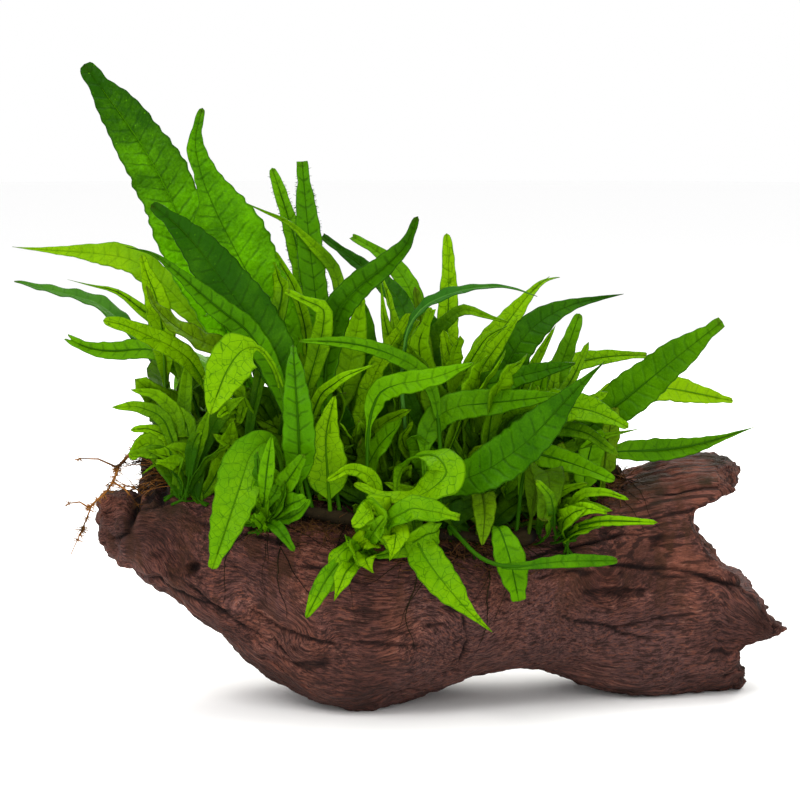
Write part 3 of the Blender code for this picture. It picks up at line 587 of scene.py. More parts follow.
# leaf finishes
leafPaints = {
    # deep and light colours, then how light the foot and the tip are; then shares of net veins, side
    # veins, spots and brown at the tip; then the quilting, the roughness and the glow of light let through
    "tall_leaf": {
        "deep": (0.010, 0.054, 0.000), "light": (0.160, 0.500, 0.000), "vein": (0.006, 0.036, 0.000),
        "midrib": (0.012, 0.055, 0.000), "rib": 0.75, "foot": 1.85, "tip": -0.20, "net": 0.10, "sides": 0.62,
        "spots": 0.10, "brown": 0.10, "quilt": 0.80, "rough": 0.30, "glow": 0.36},
    "twisted_leaf": {
        "deep": (0.018, 0.088, 0.000), "light": (0.190, 0.580, 0.000), "vein": (0.008, 0.048, 0.000),
        "midrib": (0.014, 0.065, 0.000), "rib": 0.75, "foot": 1.10, "tip": 0.45, "net": 0.10, "sides": 0.55,
        "spots": 0.10, "brown": 0.30, "quilt": 0.80, "rough": 0.30, "glow": 0.38},
    "dark_leaf": {
        "deep": (0.010, 0.056, 0.000), "light": (0.070, 0.240, 0.000), "vein": (0.007, 0.032, 0.000),
        "midrib": (0.009, 0.045, 0.000), "rib": 0.60, "foot": 0.75, "tip": 0.30, "net": 0.15, "sides": 0.55,
        "spots": 0.10, "brown": 0.20, "quilt": 0.25, "rough": 0.32, "glow": 0.22},
    "green_leaf": {
        "deep": (0.020, 0.090, 0.000), "light": (0.110, 0.310, 0.000), "vein": (0.014, 0.062, 0.000),
        "midrib": (0.014, 0.060, 0.000), "rib": 0.50, "foot": 0.45, "tip": 0.60, "net": 0.30, "sides": 0.45,
        "spots": 0.30, "brown": 0.30, "quilt": 0.30, "rough": 0.36, "glow": 0.28},
    "bright_leaf": {
        "deep": (0.050, 0.170, 0.000), "light": (0.200, 0.415, 0.000), "vein": (0.024, 0.095, 0.000),
        "midrib": (0.028, 0.085, 0.000), "rib": 0.55, "foot": 0.25, "tip": 0.80, "net": 0.85, "sides": 0.20,
        "spots": 0.50, "brown": 0.30, "quilt": 0.25, "rough": 0.38, "glow": 0.32},
    "pale_leaf": {
        "deep": (0.080, 0.220, 0.000), "light": (0.235, 0.440, 0.001), "vein": (0.045, 0.130, 0.000),
        "midrib": (0.030, 0.105, 0.000), "rib": 0.35, "foot": 0.30, "tip": 0.70, "net": 0.35, "sides": 0.35,
        "spots": 0.20, "brown": 0.70, "quilt": 0.20, "rough": 0.40, "glow": 0.34},
    "olive_leaf": {
        "deep": (0.030, 0.085, 0.000), "light": (0.120, 0.250, 0.001), "vein": (0.018, 0.042, 0.000),
        "midrib": (0.024, 0.038, 0.001), "rib": 0.45, "foot": 0.60, "tip": 0.50, "net": 0.55, "sides": 0.45,
        "spots": 0.90, "brown": 0.50, "quilt": 0.30, "rough": 0.42, "glow": 0.22},
    "blue_green_leaf": {
        "deep": (0.016, 0.085, 0.004), "light": (0.060, 0.195, 0.010), "vein": (0.010, 0.050, 0.003),
        "midrib": (0.110, 0.300, 0.040), "rib": 0.40, "foot": 0.35, "tip": 0.45, "net": 0.15, "sides": 0.25,
        "spots": 0.10, "brown": 0.80, "quilt": 0.20, "rough": 0.32, "glow": 0.22},
    "young_leaf": {
        "deep": (0.012, 0.056, 0.000), "light": (0.175, 0.400, 0.000), "vein": (0.018, 0.072, 0.000),
        "midrib": (0.022, 0.080, 0.000), "rib": 0.32, "foot": -0.25, "tip": 0.90, "net": 0.40, "sides": 0.45,
        "spots": 0.50, "brown": 0.40, "quilt": 0.30, "rough": 0.38, "glow": 0.30},
    "inner_leaf": {
        "deep": (0.008, 0.036, 0.000), "light": (0.125, 0.300, 0.000), "vein": (0.008, 0.030, 0.000),
        "midrib": (0.014, 0.052, 0.000), "rib": 0.28, "foot": -0.10, "tip": 0.75, "net": 0.30, "sides": 0.40,
        "spots": 0.60, "brown": 0.40, "quilt": 0.30, "rough": 0.42, "glow": 0.20},
}
glowTint = (1.30, 1.15, 0.05)
sideVeins = {"slope": 0.55, "spacing": 5.2}     # the side veins run out and forwards, mm apart
# how many of each pattern there are to a mm of leaf
leafPatterns = {"wobble": 0.28, "waver": 0.20, "patch": 0.075, "fine": 1.6, "net": 0.34, "faintNet": 0.16,
                "faintRows": 0.30, "dots": 0.62, "fewDots": 0.22, "glints": 0.30, "brown": 0.5}
leafMarks = {"dot": (0.006, 0.010, 0.002), "brown": (0.050, 0.024, 0.006), "specular": 0.03,
             "bumpDepth": 0.7 * mm}


# a leaf reads leafPlace, mm across and along and a number of its own, and leafShare, the same from 0 to 1
def leafFinish(name, paint):
    finish = Finish(name)
    across, along, own = finish.parts(finish.attribute("leafPlace"))
    side, share, luck = finish.parts(finish.attribute("leafShare"))
    flat = finish.node("CombineXYZ", None, {0: across, 1: along, 2: own})

    def cloud(kind, detail=1.0, roughness=0.5, output=0):
        return finish.clouds(flat, leafPatterns[kind], detail, roughness, output)

    def cells(kind, feature):
        return finish.node("TexVoronoi", {"feature": feature}, {"Vector": bent, "Scale": leafPatterns[kind]})

    bent = finish.shifted(flat, finish.stretched(cloud("wobble", 2.0, 0.5, 1), (1.6, 1.6, 0.0)))
    waver = finish.parts(cloud("waver", 1.0, 0.5, 1))[0]
    patch = cloud("patch", 3.0, 0.6)
    fine = cloud("fine", 2.0)
    ends = share * (paint["tip"] - paint["foot"]) + paint["foot"]
    light = ends + (patch - 0.5) * 0.9 + (luck - 0.5) * 0.7 + (fine - 0.5) * 0.35
    bright = light.step(-0.05, 1.15)
    colour = finish.mix(bright, paint["deep"], paint["light"])
    # the net of veins and the side veins, each with faint stretches
    fields = cells("net", "DISTANCE_TO_EDGE")
    net = (1 - fields.step(0.0, 0.050)) * cloud("faintNet", 2.0).step(0.22, 0.48)
    phase = (along - abs(across) * sideVeins["slope"]) / sideVeins["spacing"] + waver * 0.45 + own
    rows = 1 - (phase.toWhole() * sideVeins["spacing"]).step(0.05, 0.80)
    rows = rows * cloud("faintRows").step(0.26, 0.46)
    colour = finish.mix(net * paint["net"], colour, paint["vein"])
    colour = finish.mix(rows * paint["sides"] * abs(side).step(0.92, 0.55), colour, paint["vein"])
    rib = 1 - abs(across).step(0.10, 0.26)
    colour = finish.mix(rib * paint["rib"], colour, paint["midrib"])
    colour = finish.mix(abs(side).step(0.90, 0.99) * 0.60, colour, paint["vein"])
    # dark dots, light glints and a brown tip
    few = cloud("fewDots").step(0.64 - 0.22 * paint["spots"], 0.74)
    colour = finish.mix((1 - cells("dots", "F1").step(0.10, 0.20)) * few * 0.8, colour, leafMarks["dot"])
    glints = 1 - cells("glints", "F1").step(0.05, 0.11)
    colour = finish.mix(glints * paint["sides"] * 0.5, colour, paint["light"])
    brown = share.step(0.955, 1.0) * cloud("brown").step(0.35, 0.55) * paint["brown"]
    colour = finish.mix(brown, colour, leafMarks["brown"])
    finish.set(Base_Color=colour, Roughness=paint["rough"] + fine * 0.16,
               Specular_IOR_Level=leafMarks["specular"])
    quilt = fields.step(0.0, 0.42) * paint["quilt"]
    relief = quilt - rows * 0.4 - rib * paint["rib"] + fine * 0.12 + patch * 0.8
    finish.bump(relief, 0.6, leafMarks["bumpDepth"])
    # light from behind comes through, least at the veins and where the leaf is dark
    through = tuple(min(1.0, part * more) for part, more in zip(paint["light"], glowTint))
    glow = finish.node("BsdfTranslucent", None, {"Color": through})
    clear = (1 - rows * paint["sides"] * 0.6) * (1 - net * paint["net"] * 0.5)
    let = (bright * 0.85 + 0.15) * clear * paint["glow"]
    both = finish.node("MixShader", None, {0: let, 1: Wire(finish, finish.shader.outputs[0]), 2: glow})
    finish.feed(finish.tree.nodes["Material Output"].inputs["Surface"], both)
    return finish.material


# stems, rhizomes and roots: streaks of two colours and a fine bump
barkSurface = {"specular": 0.08, "bumpDepth": 0.4 * mm}


def barkFinish(name, dark, light, roughness, scale=420.0):
    finish = Finish(name)
    spot = finish.node("TexCoord", None, None, 3)
    broad = finish.clouds(spot, scale * 0.3, 2.0, 0.5)
    fine = finish.clouds(spot, scale * 2.4, 2.0, 0.6)
    colour = finish.mix(broad.step(0.35, 0.65), dark, light)
    colour = finish.mix(fine.step(0.55, 0.70) * 0.5, colour, dark)
    finish.set(Base_Color=colour, Roughness=roughness + fine * 0.15,
               Specular_IOR_Level=barkSurface["specular"])
    finish.bump(fine * 0.6 + broad, 0.5, barkSurface["bumpDepth"])
    return finish.material


finishes = {name: leafFinish(name + "Skin", paint) for name, paint in leafPaints.items()}
stalkFinish = barkFinish("stalkSkin", (0.018, 0.050, 0.001), (0.060, 0.135, 0.003), 0.5)
hairFinish = barkFinish("hairSkin", (0.012, 0.010, 0.004), (0.040, 0.034, 0.008), 0.7)
print("leaf finishes made")


# leaves
stations = 12             # evenly spaced places along a leaf


# the leaves of a frame solid: every one is a row of four-cornered sections that ends in a tip
def readLeaves(nodeName):
    bm = solidOf(nodeName)
    found = []
    taken = set()
    bm.verts.index_update()
    for tip in bm.verts:
        near = [e.other_vert(tip) for e in tip.link_edges]
        inward = [(v.co - tip.co).normalized() for v in near]
        if len(near) != 4 or min(a.dot(b) for a in inward for b in inward) < 0.1:
            continue
        rings = []
        seen = {tip}
        level = {tip}
        while True:
            level = {e.other_vert(v) for v in level for e in v.link_edges} - seen
            if len(level) != 4:
                break
            rings.append([v.co.copy() for v in sorted(level, key=lambda v: v.index)])
            seen |= level
        if len(rings) > 1:
            found.append((tip.co.copy(), rings))
            taken |= seen
    rest = [v.co.copy() for v in bm.verts if v not in taken]
    bm.free()
    # the foot that a tuft's leaves share
    crown = None
    if rest:
        crown = Vector([sorted(p[axis] for p in rest)[len(rest) // 2] for axis in range(3)])
    return [leafFromRings(tip, rings, crown, nodeName) for tip, rings in found]


def leafFromRings(tip, rings, crown, nodeName):
    points, sides, halves = [tip], [None], [0.0]
    for ring in rings:
        left, right = max(((a, b) for a in ring for b in ring), key=lambda pair: (pair[0] - pair[1]).length)
        across = right - left
        if sides[-1] is not None and across.dot(sides[-1]) < 0:
            across = -across
        points.append(sum(ring, Vector()) / 4)
        sides.append(across.normalized())
        halves.append(across.length / 2)
    sides[0] = sides[1]
    if crown is not None:
        points.append(crown)
        sides.append(sides[-1])
        halves.append(halves[-1] * 0.6)
    points.reverse()
    sides.reverse()
    halves.reverse()
    widest = halves.index(max(halves))
    ahead = points[min(widest + 1, len(points) - 1)] - points[widest - 1]
    facing = Vector((0, 0.8, 0.8)) if "rear" in nodeName else Vector((0, -0.6, 0.9))
    if sides[widest].cross(ahead).dot(facing) < 0:
        sides = [-s for s in sides]
    walked = [0.0]
    for a, b in zip(points, points[1:]):
        walked.append(walked[-1] + (b - a).length)
    leaf = {"points": [], "sides": [], "halves": [], "length": walked[-1]}
    at = 0
    for k in range(stations):
        goal = walked[-1] * k / (stations - 1)
        while at < len(points) - 2 and walked[at + 1] < goal:
            at += 1
        share = min(1.0, (goal - walked[at]) / max(walked[at + 1] - walked[at], 1e-9))
        leaf["points"].append(points[at].lerp(points[at + 1], share))
        leaf["sides"].append(sides[at].lerp(sides[at + 1], share).normalized())
        leaf["halves"].append(halves[at] + (halves[at + 1] - halves[at]) * share)
    return leaf


# how the outline closes at the tip: where it starts, and the power of its curve
tipShapes = {"blunt": (0.94, 2.4), "round": (0.86, 2.1), "point": (0.80, 1.25), "tail": (0.72, 0.80),
             "square": (0.93, 5.0), "fork": (0.90, 3.0), "torn": (0.92, 5.0)}
openTips = ("square", "fork", "torn")           # these end in a margin and not in a point
usualLook = {"tip": "point", "pucker": 0.045, "wave": 0.11, "cup": 0.16, "curl": 0.0, "bladeFrom": 0.0,
             "face": 0.0, "bite": None, "swell": None, "luck": None, "columns": 12, "rows": 64}
bladeSizes = {
    "thickness": 0.32 * mm,
    "thinnest": 0.25 * mm,            # half width where the frame's leaf is thinner still
    "stalkHalf": 1.0 * mm,            # half width below the place where a blade begins
    "bladeOver": 0.09,                # share of the length over which it begins
    "footHalf": 0.3 * mm,
    "footFound": 1.25 * mm,           # half width at which a blade is taken to have begun
    "serrations": 0.9 * mm,
    "ripples": (3 * mm, 14 * mm),
    "ribHalf": 0.7 * mm,
    "ribDepth": 0.28 * mm,
}


def bladeHalf(leaf, t, start, power):
    half = max(smoothAt(leaf["halves"], min(t, start)), bladeSizes["thinnest"])
    bladeFrom = leaf.get("bladeFrom", 0.0)
    if t < bladeFrom:
        stalk = bladeSizes["stalkHalf"]
        begun = max(0.0, (t - bladeFrom + bladeSizes["bladeOver"]) / bladeSizes["bladeOver"])
        half = min(half, stalk + (half - stalk) * begun)
    if t > start:
        u = (t - start) / (1 - start)
        half *= max(1 - u ** power, 0.0) ** (1 / power)
    return half


# the middle of the leaf at t, the way ahead and the way across
def lineAt(leaf, t):
    ahead = smoothAt(leaf["points"], min(t + 0.01, 1.0)) - smoothAt(leaf["points"], max(t - 0.01, 0.0))
    return smoothAt(leaf["points"], t), ahead.normalized(), smoothAt(leaf["sides"], t)


# where the blade begins along the leaf
def footOf(leaf):
    enough = min(bladeSizes["footFound"], max(leaf["halves"]) * 0.5)
    first = next(k for k, half in enumerate(leaf["halves"]) if half > enough)
    return max(first - 1, 0) / (stations - 1)


# how much further out than usual the margin is
def marginRipple(look, across, far, t, own, turn):
    short, long = bladeSizes["ripples"]
    ripple = 1 + 0.03 * math.sin(far / bladeSizes["serrations"] + turn + across)
    ripple += 0.05 * noise.noise(Vector((far / short, own, across)))
    ripple += 0.07 * noise.noise(Vector((far / long, own, across * 0.6)))
    if look["swell"]:
        # the blade is wider around one place: that place, how far it reaches and by how much
        middle, reach, more = look["swell"]
        ripple *= 1 + more * math.exp(-((t - middle) / reach) ** 2)
    if look["bite"]:
        # a piece has been eaten from one margin: its side, middle, length and depth
        side, middle, reach, depth = look["bite"]
        if across * side > 0:
            ripple *= 1 - depth * math.exp(-((t - middle) / reach) ** 4) * abs(across) ** 0.5
    return ripple


# how far a point of the blade stands off its flat middle
def bladeLift(leaf, look, across, reach, half, t, own, waves):
    wide, length = max(leaf["halves"]), leaf["length"]
    # the side veins lie in furrows, with the blade quilted between them
    phase = (t * length - abs(reach) * sideVeins["slope"]) / (sideVeins["spacing"] * mm) + own
    quilt = abs(math.sin(math.pi * phase)) ** 0.7 - 0.6
    body = min(1.0, abs(reach) / (1.2 * mm)) * (1 - abs(across) ** 4) * min(1.0, half / (3 * mm))
    lift = look["pucker"] * wide * quilt * body
    lift += look["cup"] * half * (abs(across) ** 1.4 - 0.3)
    lift -= bladeSizes["ribDepth"] * math.exp(-(reach / bladeSizes["ribHalf"]) ** 2)
    turns = length / (wide * 2.6)
    sway = waves[1] if across < 0 else waves[2]
    lift += look["wave"] * half * math.sin(turns * t * 6.28 + sway) * across ** 2
    lift += look["curl"] * wide * max(0.0, (t - 0.78) / 0.22) ** 2
    return lift + 0.03 * length * math.sin(t * 5 + waves[3]) * t * (1 - t)


# a sharp fold can throw a corner far out, so every corner stays close to its place on the flat blade
def thicken(bm, faces, place, share):
    thickness = bladeSizes["thickness"]
    flat = {(*v[place], *v[share]): v.co.copy() for face in faces for v in face.verts}
    made = bmesh.ops.solidify(bm, geom=faces, thickness=thickness)["geom"]
    corners = {v for item in (*faces, *made) if isinstance(item, bmesh.types.BMFace) for v in item.verts}
    for vert in corners:
        home = flat[(*vert[place], *vert[share])]
        if (vert.co - home).length > 2 * thickness:
            vert.co = home + (vert.co - home).normalized() * thickness


# one blade: a grid laid along the leaf's line, pulled in at the tip and given a thickness
def addBlade(bm, leaf, look, chance):
    place = bm.verts.layers.float_vector["leafPlace"]
    share = bm.verts.layers.float_vector["leafShare"]
    grid = bmesh.ops.create_grid(bm, x_segments=look["columns"], y_segments=look["rows"], size=1.0)["verts"]
    faces = list(dict.fromkeys(face for vert in grid for face in vert.link_faces))
    tip = look["tip"]
    start, power = tipShapes[tip]
    foot = footOf(leaf)
    own = chance.random() * 40
    luck = chance.random()
    if look["luck"] is not None:
        luck = look["luck"]
    waves = [chance.uniform(0, 6.28) for _ in range(4)]
    for vert in grid:
        across = vert.co.x
        step = (vert.co.y + 1) / 2
        t = foot + (1 - foot) * step
        outline = t
        if tip in openTips:
            notch = 0.045 * math.exp(-(across / 0.4) ** 2) if tip == "fork" else 0.0
            ragged = 0.020 * noise.noise(Vector((across * 3.1, own, 0))) if tip == "torn" else 0.0
            t = foot + (t - foot) * (1 - (notch + ragged) * step ** 6)
            outline = min(t, start + (1 - start) * 0.9)
        centre, ahead, sideways = lineAt(leaf, t)
        sideways = (sideways - ahead * sideways.dot(ahead)).normalized()
        up = sideways.cross(ahead)
        half = bladeHalf(leaf, outline, start, power) if step > 0 else bladeSizes["footHalf"]
        far = t * leaf["length"]
        reach = across * half * marginRipple(look, across, far, t, own, waves[0])
        vert.co = centre + sideways * reach + up * bladeLift(leaf, look, across, reach, half, t, own, waves)
        vert[place] = (reach / mm, far / mm, own)
        vert[share] = (across, t, luck)
    if tip not in openTips:
        last = [v for v in grid if v[share].y > 0.9999]
        bmesh.ops.pointmerge(bm, verts=last, merge_co=sum((v.co for v in last), Vector()) / len(last))
        faces = [face for face in faces if face.is_valid]
    bmesh.ops.recalc_face_normals(bm, faces=faces)
    thicken(bm, faces, place, share)
    return foot


# the round stalk, which runs on under the blade as its midrib
stalkSizes = {"thick": 0.75 * mm, "sunk": 2.2 * mm, "to": 0.93, "knots": 25, "thinnest": 0.10 * mm,
              "below": 0.2 * mm}


def stalkLine(leaf, foot, thick):
    root = leaf["points"][0]
    line = [(root - (leaf["points"][1] - root).normalized() * stalkSizes["sunk"], thick)]
    for k in range(stalkSizes["knots"]):
        t = stalkSizes["to"] * k / (stalkSizes["knots"] - 1)
        centre, ahead, sideways = lineAt(leaf, t)
        up = sideways.cross(ahead).normalized()
        past = max(0.0, (t - foot) / (1 - foot))
        thinner = (1 - 0.15 * min(t / max(foot, 0.01), 1.0)) * (1 - past) ** 1.3
        radius = thick * thinner + stalkSizes["thinnest"]
        drop = min(past * 8, 1.0) * (radius * 0.45 + stalkSizes["below"])
        line.append((centre - up * drop, radius))
    return line


def newLeafMesh():
    bm = bmesh.new()
    bm.verts.layers.float_vector.new("leafPlace")
    bm.verts.layers.float_vector.new("leafShare")
    return bm


def finishLeafMesh(bm, lines, name):
    bm.from_mesh(tubeMesh(lines, 1, 1))
    return meshFrom(bm, name)


# what sets a frond apart from the usual one
frondLooks = {
    "left_tallest": {"finish": "tall_leaf", "tip": "blunt", "pucker": 0.07, "wave": 0.08, "columns": 22,
                     "rows": 120, "cup": 0.20},
    "left_tall_twisted": {"finish": "twisted_leaf", "tip": "blunt", "pucker": 0.07, "wave": 0.16,
                          "columns": 22, "rows": 120, "curl": 0.5, "face": 0.8,
                          "swell": (0.66, 0.15, 0.45), "bite": (-1, 0.80, 0.07, 0.55)},
    "left_broad_dark": {"finish": "dark_leaf", "luck": 0.05, "tip": "blunt", "pucker": 0.06, "wave": 0.12,
                        "columns": 20, "rows": 100},
    "left_narrow_dark": {"tip": "tail", "wave": 0.18, "curl": 0.8},
    "left_yellow_hanging": {"tip": "point", "pucker": 0.03, "columns": 18, "rows": 90, "bladeFrom": 0.74,
                            "luck": 0.45},
    "left_pale_level": {"tip": "tail", "wave": 0.16, "rows": 80, "bladeFrom": 0.34},
    "left_pale_upright": {"tip": "blunt"},
    "left_olive_twisted": {"tip": "point", "wave": 0.20},
    "left_blue_low": {"tip": "point", "bladeFrom": 0.34},
    "left_pale_blunt": {"tip": "round", "bladeFrom": 0.34},
    "left_fork_tipped": {"tip": "fork", "bladeFrom": 0.34},
    "back_hairy_narrow": {"tip": "round", "hairs": 150},
    "back_hairy_square": {"finish": "dark_leaf", "tip": "square", "hairs": 190},
    "back_dark_notched": {"tip": "torn", "wave": 0.16},
    "back_green_torn": {"tip": "torn", "wave": 0.16},
    "middle_folded": {"tip": "blunt", "cup": 0.6, "wave": 0.14},
    "middle_upright": {"tip": "round", "wave": 0.14},
    "middle_grey_level": {"tip": "tail", "wave": 0.10, "bladeFrom": 0.40},
    "right_curled_tip": {"tip": "tail", "curl": -0.9, "rows": 80, "wave": 0.12},
    "right_long_tipped": {"tip": "tail", "rows": 80, "pucker": 0.03},
    "right_oval_upright": {"tip": "round"},
    "right_brown_tipped": {"tip": "torn"},
    "right_largest": {"tip": "square", "luck": 0.2, "pucker": 0.04, "columns": 18, "rows": 80},
    "right_pale_far": {"tip": "blunt", "columns": 14},
    "right_long_tailed": {"tip": "tail", "rows": 80},
    "right_small_level": {"tip": "round"},
    "front_long_diagonal": {"finish": "dark_leaf", "tip": "tail", "columns": 18, "rows": 90, "pucker": 0.03},
    "middle_net_veined": {"tip": "blunt", "columns": 16},
    "middle_broad_level": {"bladeFrom": 0.35},
    "middle_bright_level": {"finish": "green_leaf", "bladeFrom": 0.46, "wave": 0.2},
    "middle_dark_level": {"bladeFrom": 0.35},
    "middle_long_left": {"bladeFrom": 0.35},
    "front_upright_dark": {"finish": "dark_leaf", "tip": "blunt", "columns": 14, "wave": 0.22},
    "front_upright_pale": {"tip": "point", "columns": 16},
    "front_left_hanging": {"tip": "blunt", "columns": 18, "rows": 80, "pucker": 0.03, "wave": 0.06,
                           "bladeFrom": 0.31, "swell": (0.45, 0.16, 0.25)},
    "front_curled_loop": {"tip": "round", "rows": 90, "wave": 0.14, "columns": 16,
                          "swell": (0.65, 0.35, 0.45)},
    "front_pointed_hanging": {"tip": "tail", "columns": 18, "rows": 80, "pucker": 0.03, "curl": 0.5},
    "front_dark_tipped": {"tip": "torn"},
    "front_spatula": {"tip": "round", "wave": 0.12, "rows": 80},
    "front_broad_hanging": {"tip": "round"},
}
hairSizes = {"length": 1.0 * mm, "radius": 0.10 * mm}


def marginHairs(leaf, look, count, chance):
    start, power = tipShapes[look["tip"]]
    lines = []
    for _ in range(count):
        t = chance.uniform(0.3, 0.97)
        sideways = smoothAt(leaf["sides"], t) * chance.choice((-1, 1))
        root = smoothAt(leaf["points"], t) + sideways * bladeHalf(leaf, t, start, power) * 0.97
        stray = drawn(chance, (-1, 1), (-1, 1), (-1, 1)) * 0.45
        end = root + (sideways + stray).normalized() * hairSizes["length"] * chance.uniform(0.6, 1.2)
        lines.append([(root, hairSizes["radius"]), (end, hairSizes["radius"] * 0.4)])
    return lines


# turns a blade's flat side towards the front
def turnToFront(leaf, share):
    for k in range(stations):
        ahead = leaf["points"][min(k + 1, stations - 1)] - leaf["points"][max(k - 1, 0)]
        wanted = ahead.cross(Vector((0, -1, 0))).normalized()
        if wanted.dot(leaf["sides"][k]) < 0:
            wanted = -wanted
        leaf["sides"][k] = leaf["sides"][k].lerp(wanted, share).normalized()


def makeFrond(nodeName):
    chance = random.Random(nodeName)
    look = {**usualLook, **frondLooks.get(nodeName.replace("frond_", ""), {})}
    leaf = readLeaves(nodeName)[0]
    leaf["bladeFrom"] = look["bladeFrom"]
    if look["face"]:
        turnToFront(leaf, look["face"])
    bm = newLeafMesh()
    foot = addBlade(bm, leaf, look, chance)
    if "hairs" in look:
        bm.from_mesh(tubeMesh(marginHairs(leaf, look, look["hairs"], chance), 0, 2))
    mesh = finishLeafMesh(bm, [stalkLine(leaf, foot, stalkSizes["thick"])], nodeName)
    paint = finishes[look.get("finish", slotOf[nodeName])]
    addPiece(nodeName.replace("frond_", "leaf_"), mesh, [paint, stalkFinish, hairFinish],
             [nodeName])


fronds = sorted(name for name in nodes if name.startswith("frond_"))
for frondName in fronds:
    makeFrond(frondName)
print(len(fronds), "fronds made")


# plantlets
# how many small leaves are added between a plantlet's own, how far their feet spread, and their finish
plantletLooks = {
    "plantlet_left": {"more": 9, "spread": 8 * mm, "finish": "young_leaf", "wide": 1.4},
    "plantlet_front_left": {"more": 12, "spread": 8 * mm, "finish": "green_leaf", "wide": 1.2},
    "plantlet_front_middle": {"more": 8, "spread": 7 * mm, "finish": "bright_leaf", "wide": 1.1},
    "plantlet_front_right": {"more": 9, "spread": 8 * mm, "finish": "young_leaf", "wide": 1.2},
    "plantlet_crown_left": {"more": 18, "spread": 14 * mm, "finish": "young_leaf", "wide": 1.3},
    "plantlet_crown_right": {"more": 40, "spread": 24 * mm, "finish": "young_leaf", "wide": 1.3},
    "plantlet_rear_left": {"more": 14, "spread": 12 * mm, "finish": "green_leaf", "wide": 1.3},
    "plantlet_rear_middle": {"more": 16, "spread": 14 * mm, "finish": "young_leaf", "wide": 1.3},
    "plantlet_rear_right": {"more": 14, "spread": 12 * mm, "finish": "green_leaf", "wide": 1.3},
}
smallLook = {**usualLook, "columns": 6, "rows": 20, "pucker": 0.05, "wave": 0.22, "cup": 0.25}
smallTips = ("round", "point", "blunt", "tail", "torn", "round")
smallStalk = (0.35 * mm, 0.55 * mm)


# where the wood's surface is under a place
def ontoWood(place):
    return woodTree.find_nearest(place)[0]


# a smaller leaf that grows between two leaves of one tuft
def leafBetween(one, other, spread, wide, chance):
    share = chance.random()
    reach = chance.uniform(0.40, 0.95)
    old = one["points"][0]
    foot = ontoWood(old + drawn(chance, (-1, 1), (-0.6, 0.6), 0) * spread)
    sway = drawn(chance, (-1, 1), (-1, 1), (-1, 1)) * 0.16 * one["length"] * reach
    turn = Matrix.Rotation(chance.gauss(0, 0.30), 3, "Y") @ Matrix.Rotation(chance.gauss(0, 0.45), 3, "Z")
    leaf = {"points": [], "sides": [], "halves": []}
    wide *= chance.uniform(0.6, 1.35)
    spin = chance.uniform(-1.8, 1.8)
    for k, (a, b) in enumerate(zip(one["points"], other["points"])):
        t = k / (stations - 1)
        aim = old + turn @ (a.lerp(b, share) - old) * reach
        leaf["points"].append(foot.lerp(aim, min(1.0, t * 1.6)) + sway * math.sin(math.pi * t))
        side = other["sides"][k] * (1 if one["sides"][k].dot(other["sides"][k]) > 0 else -1)
        side = turn @ one["sides"][k].lerp(side, share)
        leaf["sides"].append((side + Vector((0, spin * t, 0))).normalized())
        half = one["halves"][k] * (1 - share) + other["halves"][k] * share
        leaf["halves"].append(half * reach ** 0.3 * (1 + (wide - 1) * min(t * 3, 1.0)))
    leaf["length"] = sum((b - a).length for a, b in zip(leaf["points"], leaf["points"][1:]))
    return leaf


def makePlantlet(nodeName, look):
    chance = random.Random(nodeName)
    leaves = readLeaves(nodeName)
    grown = list(leaves)
    for _ in range(look["more"]):
        one, other = chance.sample(leaves, 2)
        grown.append(leafBetween(one, other, look["spread"], look["wide"], chance))
    bm = newLeafMesh()
    lines = []
    for leaf in grown:
        shape = {**smallLook, "tip": chance.choice(smallTips), "curl": chance.uniform(-0.6, 0.8)}
        foot = addBlade(bm, leaf, shape, chance)
        lines.append(stalkLine(leaf, foot, chance.uniform(*smallStalk)))
    mesh = finishLeafMesh(bm, lines, nodeName)
    paint = finishes[look["finish"]]
    addPiece(nodeName + "_leaves", mesh, [paint, stalkFinish], [nodeName])
    print(nodeName, len(leaves), "leaves read,", len(grown), "made")


for plantletName, plantletLook in plantletLooks.items():
    makePlantlet(plantletName, plantletLook)


# rhizomes, roots and moss
rhizomeSizes = {"scales": 0.35 * mm, "bumps": (1.6 * mm, 5 * mm), "hairs": 260, "hairLength": 2.6 * mm,
                "hairRadius": 0.09 * mm}
rootSizes = {"perRhizome": 26, "steps": (7, 18), "step": 2.6 * mm, "radius": 0.42 * mm, "lift": 0.15 * mm}
rhizomeFinish = barkFinish("rhizomeSkin", (0.004, 0.003, 0.002), (0.018, 0.012, 0.004), 0.75, 300.0)
rootFinish = barkFinish("rootSkin", (0.012, 0.006, 0.003), (0.060, 0.026, 0.008), 0.7, 500.0)


def hairLine(place, normal, chance):
    long = rhizomeSizes["hairLength"]
    radius = rhizomeSizes["hairRadius"]
    stray = drawn(chance, (-1, 1), (-1, 1), (-1, 0.6))
    middle = place + (normal + stray * 0.6).normalized() * long * chance.uniform(0.4, 1.0)
    end = middle + (normal * 0.3 + stray).normalized() * long * chance.uniform(0.3, 1.0)
    return [(place, radius), (middle, radius * 0.8), (end, radius * 0.4)]


# a root that creeps down over the wood
def creepingRoot(at, chance):
    heading = Vector((chance.uniform(-1, 1), chance.choice((-1.4, -1.0, 0.8)), -0.2)).normalized()
    radius = rootSizes["radius"] * chance.uniform(0.5, 1.0)
    steps = chance.randint(*rootSizes["steps"])
    line = [(at.copy(), radius)]
    for k in range(steps):
        heading = (heading + drawn(chance, (-0.35, 0.35), (-0.2, 0.2), -0.16)).normalized()
        hit, normal = woodTree.find_nearest(at + heading * rootSizes["step"])[:2]
        at = hit + normal * rootSizes["lift"]
        heading = (heading - normal * heading.dot(normal)).normalized()
        line.append((at.copy(), radius * (1 - 0.75 * (k + 1) / steps)))
    return line


